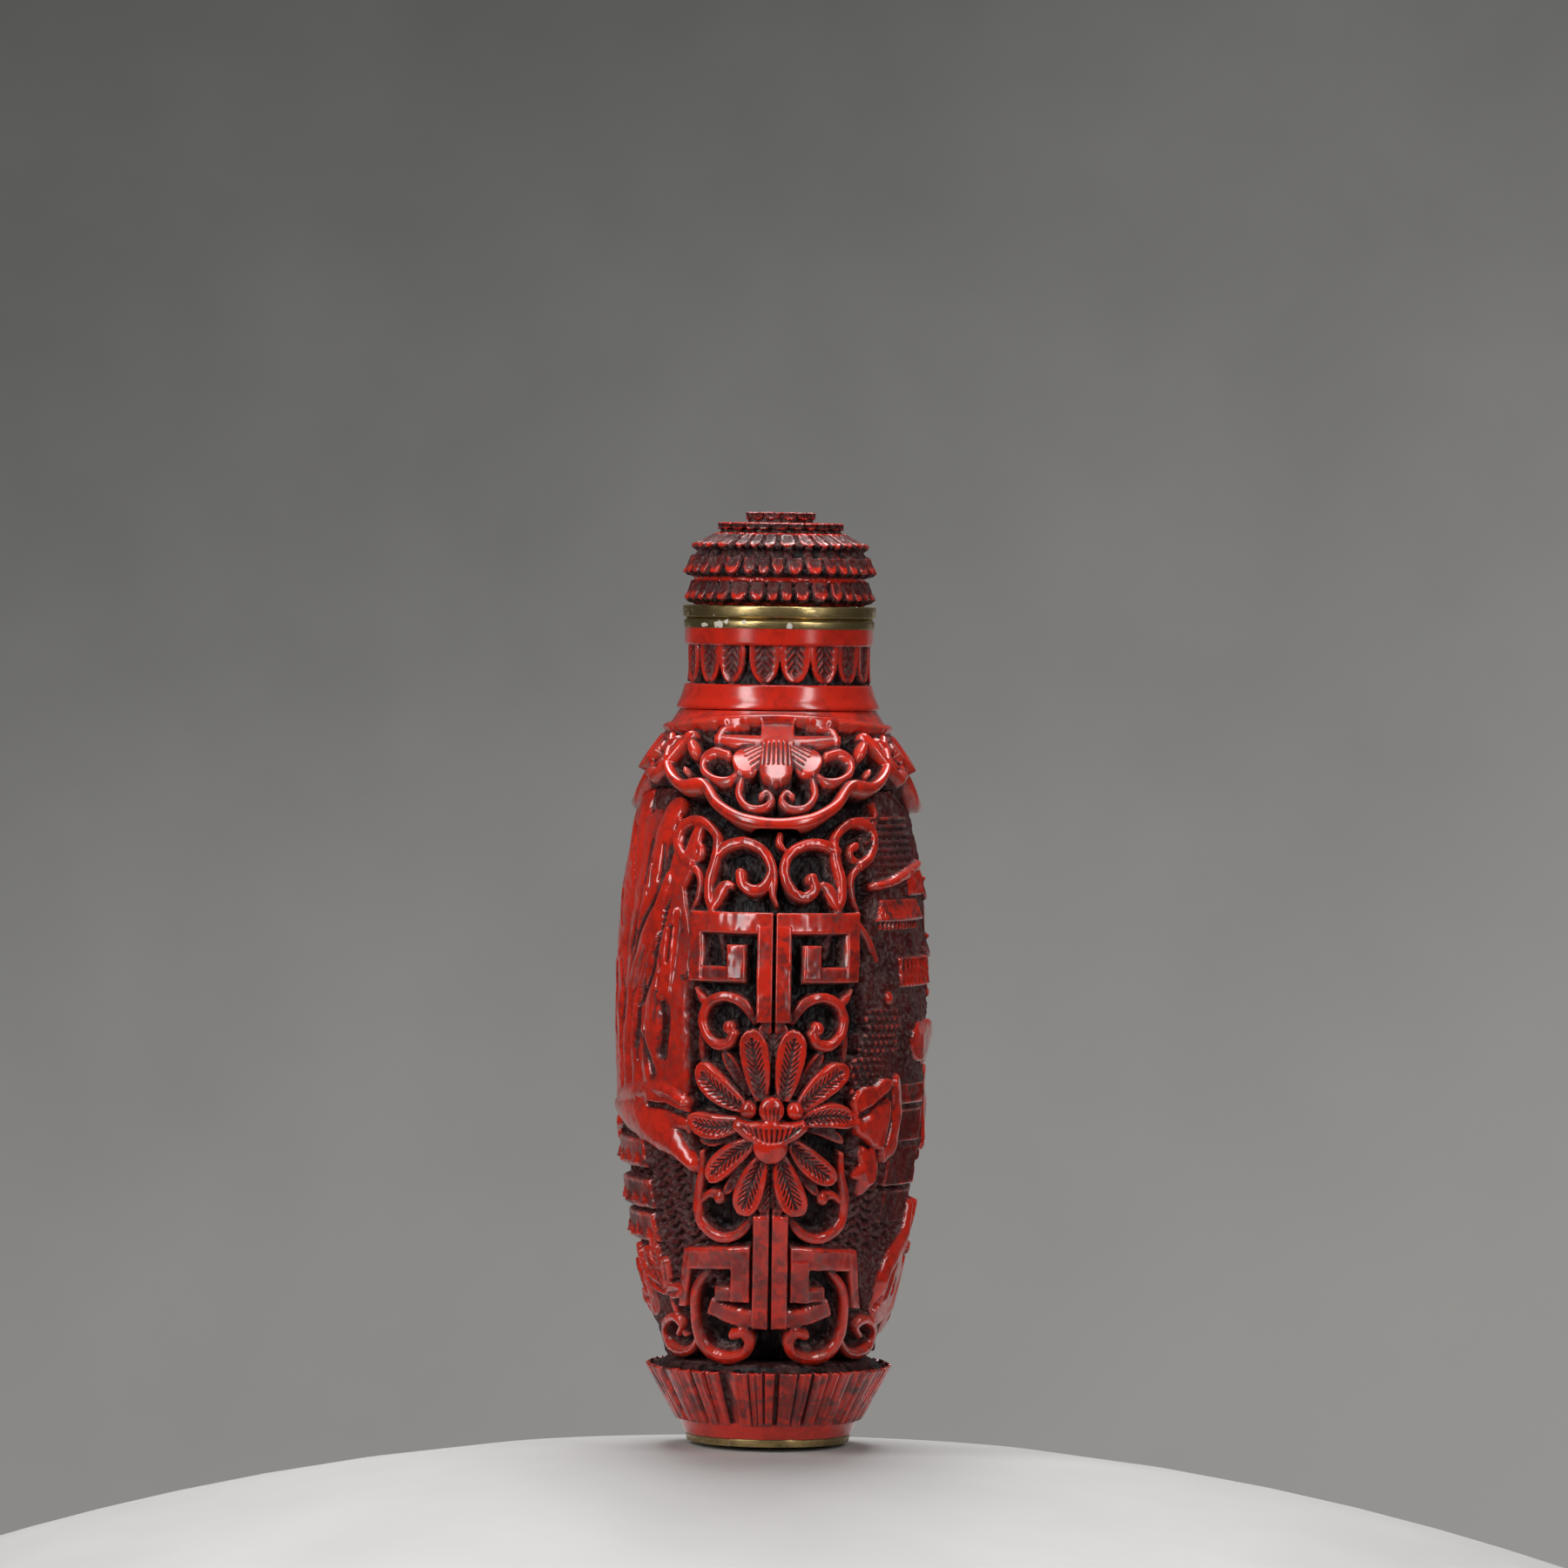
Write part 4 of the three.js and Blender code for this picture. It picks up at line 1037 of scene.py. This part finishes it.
def onCollar(points, front):
    p = np.array(points, float)
    if not front:
        share, top = collarShape["sideShare"], collarShape["sideTop"]
        return np.column_stack([p[:, 0] * share, top - (top - p[:, 1]) * share, *p.T[2:]])
    a, b, _ = collarSkin(p[:, 1])
    turn = np.arcsin(np.clip(p[:, 0] / a, -0.97, 0.97))
    return np.column_stack([arcLength(turn, a, b), *p.T[1:]])


def lobe(face, front):  # a palmette and scrolls inside a rolled rim
    def line(points, half, level, crown=0.15, mirror=True, **more):
        for side in (-1, 1) if mirror else (1,):
            face.ribbon(onCollar([(side * x, z) for x, z in points], front), half, level, crown, **more)

    full = collarShape["relief"]
    line([(0, 60.95), (5.6, 60.95)], 0.42, full - 0.3, square=True)
    line([(5.3, 60.9), (4.6, 61.9), (2.7, 62.2)], [0.4, 0.35, 0.2], full - 0.35)
    line([(0, 60.6), (0, 63.0)], 1.45, full - 0.25, 0.05, False, square=True)
    line([(4.4, 59.8), (5.6, 60.0), (6.6, 59.3), (6.6, 58.3), (5.6, 57.6), (4.3, 57.6), (3.3, 58.3)],
         [0.38, 0.42, 0.42, 0.42, 0.42, 0.38, 0.34], full - 0.5, 0.2)
    line([(3.2, 58.0), (3.5, 56.5), (2.7, 55.4), (1.3, 55.3), (0.5, 56.0), (0.85, 56.7), (1.4, 56.4)],
         [0.32, 0.38, 0.38, 0.38, 0.38, 0.34], full - 0.65, 0.2)
    for side in (-1, 1):
        face.ball(onCollar([(side * 7.5, 60.1)], front)[0], 0.75, full, 0.5)
        face.ball(onCollar([(side * 8.2, 58.2)], front)[0], 0.38, full - 0.4, 0.25)
        ends = onCollar([(side * 0.8, 60.4), (side * 3.8, 58.5)], front)
        face.fanPetal(ends[0], ends[1], 1.25, full - 0.15, 5, 0.3)
    ends = onCollar([(-0.1, 60.9), (-0.1, 57.1)], front)
    face.fanPetal(ends[0], ends[1], 1.45, full + 0.1, 6, 0.3, 0.8)
    rim = collarShape["edge"]
    whole = [(-x, z) for x, z in rim[:0:-1]] + list(rim)
    face.ribbon(onCollar(whole, front), 0.58, full, 0.35)


def carveCollar(turn, z, height, grimeAndShade):
    faces = facesOf(collarSkin, turn, z, height, grimeAndShade)
    outside = np.ones_like(turn)
    edge = np.array(collarShape["edge"])
    for k, face in enumerate(faces):
        rim = onCollar(edge, k % 2 == 0)
        low = np.interp(np.abs(face.x), rim[:, 0], rim[:, 1], right=70)
        outside = np.minimum(outside, 1 - smoothStep(-0.15, 0.15, z - low))
    rugged = ringNoise(turn, z, 95, 0.6, 8) * 0.3
    height += rugged + outside * np.interp(z, [55.6, 57.0], [-1.5, 0.3])  # outside the lobes it sinks away
    for k, face in enumerate(faces):
        lobe(face, k % 2 == 0)
    full = collarShape["relief"]
    brink = collarShape["brink"] - collarShape["dip"] * np.sin(turn) ** 2
    spot = np.nonzero(np.abs(z - brink) < 0.8)
    faces[0].pile(spot, np.abs(z - brink)[spot] - 0.26, full + 0.1)
    faces[0].pile(np.nonzero(z > brink), -1.0, full - 0.25)


collarStations = np.linspace(collarShape["foot"], collarShape["top"], collarShape["rows"] + 1)
carvedRing("shoulderCollar", "bottle_body", collarSkin, collarStations, collarShape, carveCollar)


# Neck: a smooth flange, a band of hanging leaves and a plain band under the brass

neckShape = {
    "heights": [62.4, 62.95, 63.3, 64.0, 65.1, 66, 68.4, 70.2],
    "radii": [8.7, 8.75, 8.72, 8.4, 8.1, 8.0, 8.0, 8.0],
    "foot": 62.5,
    "top": 69.95,
    "rows": 75,
    "columns": 480,
    "cell": 0.1,
    "wall": 4.0,
    "relief": 0.8,
    "leaves": 18,
    "leafTop": 70.2,
    "bandFoot": 68.5,
    "leafFoot": 65.2,
    "flangeFoot": 62.95,
}


def neckSkin(z):
    radius = hermite(z, neckShape["heights"], neckShape["radii"])
    return radius, radius, z


def carveNeck(turn, z, height, grimeAndShade):
    shape, full = neckShape, neckShape["relief"]
    height += ringNoise(turn, z, 50, 0.4, 12) * 0.15
    dice = np.random.default_rng(14)
    for k in range(shape["leaves"]):
        middle = (k + 0.5) / shape["leaves"] * math.tau + dice.uniform(-0.02, 0.02)
        across = ((turn - middle + math.pi) % math.tau - math.pi) * shape["radii"][-1]
        lean, half = dice.uniform(-0.15, 0.15), dice.uniform(1.28, 1.45)
        base, tip = (0, shape["leafTop"]), (lean, shape["leafFoot"] + dice.uniform(0.0, 0.15))
        face = Carving(across, z, height, grimeAndShade)
        face.leaf(base, tip, half, full + dice.uniform(-0.12, 0.0), 0.45, 0.16, 0.6, tuck=0, pitch=0.7)
    ring = Carving(turn * shape["radii"][-1], z, height, grimeAndShade)
    everywhere = np.nonzero(z > 0)
    flange = (shape["flangeFoot"], shape["leafFoot"] - 0.02, full)
    band = (shape["bandFoot"], shape["leafTop"] + 0.2, full + 0.12)
    for low, high, top in (flange, band):
        ring.pile(everywhere, np.maximum(low - z, z - high)[everywhere], top, 0.0)


neckStations = np.linspace(neckShape["foot"], neckShape["top"], neckShape["rows"] + 1)
carvedRing("neckBand", "bottle_body", neckSkin, neckStations, neckShape, carveNeck)


# Foot: a plain band and a flared fence of upright blades with an open top

footShape = {
    "thin": [6.9, 7.1, 7.45, 7.62, 7.7, 10.3, 10.42, 10.2, 9.2, 6.9, 5.6, 4.8, 4.4],
    "wide": [9.2, 9.4, 9.95, 10.15, 10.25, 14.05, 14.2, 13.95, 12.9, 10.4, 9.0, 7.4, 6.4],
    "heights": [0.65, 0.65, 1.4, 1.8, 1.95, 6.5, 6.72, 6.95, 7.5, 7.9, 7.9, 5.2, 3.4],
    "rows": [75, 15],  # outside, and inside the open top
    "columns": 520,
    "cell": 0.12,
    "relief": 0.55,
    "blades": 46,
}


def runAlong(radii, heights):  # distance run along a profile at each of its stations
    return np.concatenate([[0], np.cumsum(np.hypot(np.diff(radii), np.diff(heights)))])


footRun = runAlong(footShape["thin"], footShape["heights"])


def footSkin(s):
    return tuple(np.interp(s, footRun, footShape[key]) for key in ("thin", "wide", "heights"))


def carveFoot(turn, s, height, grimeAndShade):
    blades = footShape["blades"]
    begin, lip, inside = footRun[4], footRun[6], footRun[8]
    height += footShape["relief"]
    up = np.clip((s - begin) / (lip - begin), 0, 1)
    warped = turn + 0.055 * np.sin(5 * turn) + 0.05 * np.sin(11 * turn + 1) + 0.03 * np.sin(17 * turn + 2)
    phase = warped / math.tau * blades
    blade, at = np.floor(phase), phase - np.floor(phase)
    chance = np.random.default_rng(17).random((3, blades))[:, blade.astype(int) % blades]
    cut = np.clip(1 - np.minimum(at, 1 - at) / 0.13, 0, 1) ** 0.6
    split = np.clip(1 - np.abs(at - 0.35 - 0.3 * chance[0]) / 0.07, 0, 1) * (chance[1] > 0.35)
    tilt = (at - 0.5) * (chance[2] - 0.5) * 0.5
    streaks = ringNoise(turn, s * 0.06, 60, 0.16, 18) * 0.12 + ringNoise(turn, s * 0.1, 60, 0.4, 19) * 0.08
    onBlades = smoothStep(begin - 0.1, begin + 0.2, s) * (1 - smoothStep(lip - 0.05, lip + 0.15, s))
    uneven = (chance[1] - 0.5) * 0.3
    height -= onBlades * (cut * 0.5 + split * 0.3 + streaks - tilt - 0.34 - uneven * up * 0.5)
    over = smoothStep(lip - 0.05, lip + 0.2, s) * (1 - smoothStep(inside - 0.3, inside + 0.3, s))
    height -= over * (0.25 + 0.25 * ringNoise(turn, s, 60, 0.5, 20))
    # inside the open top, between the fence and the body, the surface sinks and is painted dark: painted
    # shade
    dark = smoothStep(lip + 0.05, lip + 0.3, s)
    height -= dark * 0.35
    grimeAndShade += onBlades * (0.2 + 0.35 * ringNoise(turn, s, 60, 1.2, 21)) + dark * 0.9


def stationsAlong(run, split, rows):  # rows before and after one station of the profile
    before, after = np.linspace(0, run[split], rows[0] + 1), np.linspace(run[split], run[-1], rows[1] + 1)
    return np.concatenate([before, after[1:]])


footStations = stationsAlong(footRun, 8, footShape["rows"])
carvedRing("footFence", "bottle_body", footSkin, footStations, footShape, carveFoot)


# Stopper cap: tiers of petals that overlap like thatch under a flat crown

capShape = {
    "radii": [6.0, 7.6, 8.05, 8.3, 7.7, 7.35, 8.1, 8.38, 7.75, 7.25, 7.5, 7.68, 7.6, 5.5, 5.25, 5.42,
              5.5, 5.35, 3.0, 2.85, 3.0, 3.08, 2.95, 0.4],
    "heights": [71.9, 71.92, 72.1, 72.4, 74.0, 74.15, 74.35, 74.65, 76.3, 76.45, 76.6, 76.8, 77.2, 78.2,
                78.28, 78.35, 78.9, 79.05, 79.1, 79.17, 79.25, 79.85, 79.98, 79.99],
    "rows": [5, 129],
    "columns": 392,
    "cell": 0.1,
    "relief": 0.7,
    # each tier: petals, station of its tips, station where they start, how far the gaps sink
    "tiers": [(34, 3, 4.6, 0.5), (34, 7, 8.6, 0.5), (30, 11, 12.9, 0.45), (24, 15, 16.8, 0.3),
              (12, 20, 21.8, 0.25)],
    "crown": 22,  # the station where the flat crown starts
}
capRun = runAlong(capShape["radii"], capShape["heights"])


def capSkin(s):
    radius, z = (np.interp(s, capRun, capShape[key]) for key in ("radii", "heights"))
    return radius, radius, z


def carveCap(turn, s, height, grimeAndShade):
    height += capShape["relief"]
    marks = np.arange(len(capRun))
    for k, (petals, tip, start, sink) in enumerate(capShape["tiers"]):
        low, high = np.interp([tip, start], marks, capRun)
        share = (high - s) / (high - low)  # 0 at the root, 1 at the tip, more underneath
        phase = (turn + 0.03 * np.sin(7 * turn + k)) / math.tau * petals + 0.5 * (k % 2)
        near = np.abs(phase - np.floor(phase) - 0.5) * 2
        chance = np.random.default_rng(23 + k).random(petals)[np.floor(phase).astype(int) % petals]
        past = np.clip((share - 0.5) / (0.5 + 0.12 * (chance - 0.5)), 0, 1.0)
        edge = 0.9 * np.sqrt(np.maximum(1 - past**2.2, 0.012))
        inside = np.clip((edge - near) / 0.16, 0, 1)
        reach = (share > -0.02) & (share < 1.0)
        under = (share >= 1.0) & (share < 1.5)
        dish = 0.08 * (1 - np.clip(near / edge, 0, 1) ** 2) * smoothStep(0.0, 0.35, share)
        lift = 0.1 * smoothStep(0.55, 0.95, share)
        height -= np.where(reach, sink * (1 - inside) + dish * inside - lift * inside, 0)
        # under each overhanging tip the surface sinks and is painted dark: painted shade
        height -= np.where(under, sink * smoothStep(0.25, 0.6, near) + 0.1, 0)
        # duller and darker towards each petal's root, more on some petals than on others
        dull = 0.2 + (0.3 + 0.4 * chance) * (1 - smoothStep(0.35, 0.95, share))
        grimeAndShade += np.where(reach, dull, 0) + np.where(under, 0.8, 0)
    rim = capRun[capShape["crown"]]
    crown = smoothStep(rim - 0.1, rim + 0.1, s)
    height -= crown * 0.12 * ringNoise(turn, s, 12, 0.6, 31)
    height -= 0.1 * ringNoise(turn, s, 50, 0.25, 32)


capStations = stationsAlong(capRun, 1, capShape["rows"])
carvedRing("stopperPetals", "stopper_cap", capSkin, capStations, capShape, carveCap)


# Brass: lip, stopper collar with its plug, and the plate under the foot

brassShape = {
    "steps": 160,
    "bevel": 0.07,
    # radii along each turned profile
    "mouth": [4, 8.2, 8.22, 7.98, 4],
    "stopper": [0, 3.5, 3.7, 8.0, 8.3, 8.32, 8.2, 0],
    "plate": [0, 5.35, 5.35, 6.95, 7.1, 0],
    "recess": 0.3,
    "oval": 1.33,  # the foot plate is this much longer along the wide way
}


def lathe(name, node, radii, heights, closed=False, stretch=1.0):
    cloth = bmesh.new()
    corners = [cloth.verts.new((r * mm, 0, z * mm)) for r, z in zip(radii, heights)]
    links = [cloth.edges.new(ends) for ends in zip(corners, corners[1:])]
    if closed:
        links.append(cloth.edges.new((corners[-1], corners[0])))
    bmesh.ops.spin(cloth, geom=corners + links, cent=(0, 0, 0), axis=(0, 0, 1), angle=math.tau,
                   steps=brassShape["steps"], use_merge=True)
    bmesh.ops.remove_doubles(cloth, verts=cloth.verts, dist=1e-7)
    bmesh.ops.recalc_face_normals(cloth, faces=cloth.faces)
    sharp = [edge for edge in cloth.edges if len(edge.link_faces) == 2 and edge.calc_face_angle() > 0.6]
    bmesh.ops.bevel(cloth, geom=sharp, offset=brassShape["bevel"] * mm, segments=3, profile=0.5,
                    affect="EDGES", material=-1)
    bmesh.ops.scale(cloth, vec=(1, stretch, 1), verts=cloth.verts)
    mesh = bpy.data.meshes.new(name)
    cloth.to_mesh(mesh)
    cloth.free()
    mesh.shade_smooth()
    print(name, len(mesh.polygons), "faces")
    finishPiece(mesh, name, brass, node)


def makeBrassParts():
    look = brassShape
    lipFoot, lipTop, collarTop = nodeFoot("neck_lip"), nodeTop("neck_lip"), nodeTop("stopper_collar")
    plugFoot, plateTop, recess = nodeFoot("stopper_collar"), nodeTop("foot_plate"), look["recess"]
    heights = [lipFoot, lipFoot, lipTop - 0.28, lipTop, lipTop]
    lathe("mouthRing", "neck_lip", look["mouth"], heights, closed=True)
    heights = [plugFoot, plugFoot, lipTop, lipTop, lipTop + 0.16, collarTop - 0.12, collarTop, collarTop]
    lathe("stopperRing", "stopper_collar", look["stopper"], heights)
    heights = [recess, recess, 0, 0, plateTop, plateTop]
    lathe("footDisc", "foot_plate", look["plate"], heights, stretch=look["oval"])


makeBrassParts()


# Floor, lights and camera

stageShape = {
    "domeRadius": 0.23,
    "domeReach": 0.17,
    "rings": 40,
    "lift": 0.0001,
    "floorTones": [(0.37, 0.365, 0.36, 1), (0.46, 0.455, 0.45, 1)],
    "wallDistance": 0.9,
    "wallSize": 1.6,
    "wallTones": [(0.075, 0.075, 0.072, 1), (0.3, 0.295, 0.285, 1)],
}


def stageObject(cloth, name, material):
    mesh = bpy.data.meshes.new(name)
    cloth.to_mesh(mesh)
    cloth.free()
    mesh.shade_smooth()
    mesh.materials.append(material)
    made = bpy.data.objects.new(name, mesh)
    bpy.context.scene.collection.objects.link(made)


def makeStage():
    radius, reach, rings = stageShape["domeRadius"], stageShape["domeReach"], stageShape["rings"]
    cloth = bmesh.new()
    bmesh.ops.create_circle(cloth, cap_ends=True, segments=192, radius=reach)
    disc = list(cloth.faces)
    for step in range(rings, 1, -1):
        inset = reach * (math.sqrt(step / rings) - math.sqrt((step - 1) / rings))
        bmesh.ops.inset_individual(cloth, faces=disc, thickness=inset, depth=0, use_even_offset=True)
    bmesh.ops.poke(cloth, faces=disc)
    for vert in cloth.verts:
        out = min(vert.co.x**2 + vert.co.y**2, radius**2)
        vert.co.z = math.sqrt(radius**2 - out) - radius + stageShape["lift"]
    material, start, shader = startMaterial("paleFloor")
    place = start.node("ShaderNodeTexCoord", output="Object")
    tint = noiseOn(start, place, 60).mix(*stageShape["floorTones"])
    feed(shader, start, {"Base Color": tint, "Roughness": 0.55})
    stageObject(cloth, "floor", material)
    wall = bmesh.new()
    bmesh.ops.create_grid(wall, x_segments=1, y_segments=1, size=stageShape["wallSize"] / 2)
    bmesh.ops.rotate(wall, verts=wall.verts, cent=(0, 0, 0), matrix=Matrix.Rotation(math.pi / 2, 3, "X"))
    bmesh.ops.translate(wall, verts=wall.verts, vec=(0, stageShape["wallDistance"], 0.1))
    material, start, shader = startMaterial("greyBackdrop")
    place = start.node("ShaderNodeTexCoord", output="Object")
    x, z = (start.node("ShaderNodeSeparateXYZ", {}, {0: place}, i) for i in (0, 2))
    mottle = noiseOn(start, place, 5, 5, 0.6)
    # the backdrop glows with painted light: brighter towards the bottom and to the right, with a soft mottle
    rising = (z * -1).within(-0.28, 0.12) * 0.75 + (x + 0.15).within(0, 0.4) * 0.25 + (mottle - 0.5) * 0.5
    grey = rising.within(0, 1).mix(*stageShape["wallTones"])
    feed(shader, start, {"Base Color": (0, 0, 0, 1), "Specular IOR Level": 0, "Emission Color": grey,
                         "Emission Strength": 1})
    stageObject(wall, "backdrop", material)


lightShape = {
    "aim": (0, 0, 0.04),
    # each lamp: place, size, power
    "leftLight": ((-0.47, -0.52, 0.4), (0.2, 0.7), 4.6),
    "rightLight": ((0.45, -0.55, 0.4), (0.13, 0.7), 2.9),
    "topLight": ((0, 0.16, 0.58), (0.36, 0.62), 4.9),
    "air": (0.2, 0.197, 0.19, 1),
    "airStrength": 0.35,
}


def addLamp(name):
    place, size, power = lightShape[name]
    lamp = bpy.data.lights.new(name, "AREA")
    lamp.shape, lamp.size, lamp.size_y = "RECTANGLE", size[0], size[1]
    lamp.energy = power
    held = bpy.data.objects.new(name, lamp)
    held.location = place
    held.rotation_euler = (Vector(lightShape["aim"]) - Vector(place)).to_track_quat("-Z", "Y").to_euler()
    bpy.context.scene.collection.objects.link(held)


def makeLights():
    for name in ("leftLight", "rightLight", "topLight"):
        addLamp(name)
    world = bpy.data.worlds.new("studio")
    world.use_nodes = True
    air = world.node_tree.nodes["Background"].inputs
    air["Color"].default_value, air["Strength"].default_value = lightShape["air"], lightShape["airStrength"]
    bpy.context.scene.world = world


cameraShape = {
    "lens": 280,
    "sensor": 36,
    "distance": 1.05,
    "side": 0.0006,
    "height": 0.0753,
    "pitch": 1.022,
    "roll": 0.83,
}


def makeCamera():
    eye = bpy.data.cameras.new("camera")
    eye.lens, eye.sensor_width = cameraShape["lens"], cameraShape["sensor"]
    eye.clip_start, eye.clip_end = 0.05, 20
    camera = bpy.data.objects.new("camera", eye)
    place = Matrix.Translation((cameraShape["side"], -cameraShape["distance"], cameraShape["height"]))
    tilt = Matrix.Rotation(math.radians(90 - cameraShape["pitch"]), 4, "X")
    camera.matrix_world = place @ tilt @ Matrix.Rotation(math.radians(cameraShape["roll"]), 4, "Z")
    bpy.context.scene.collection.objects.link(camera)
    bpy.context.scene.camera = camera


makeStage()
makeLights()
makeCamera()
bpy.context.scene.view_settings.view_transform = "Standard"
print("stage, lights and camera made")
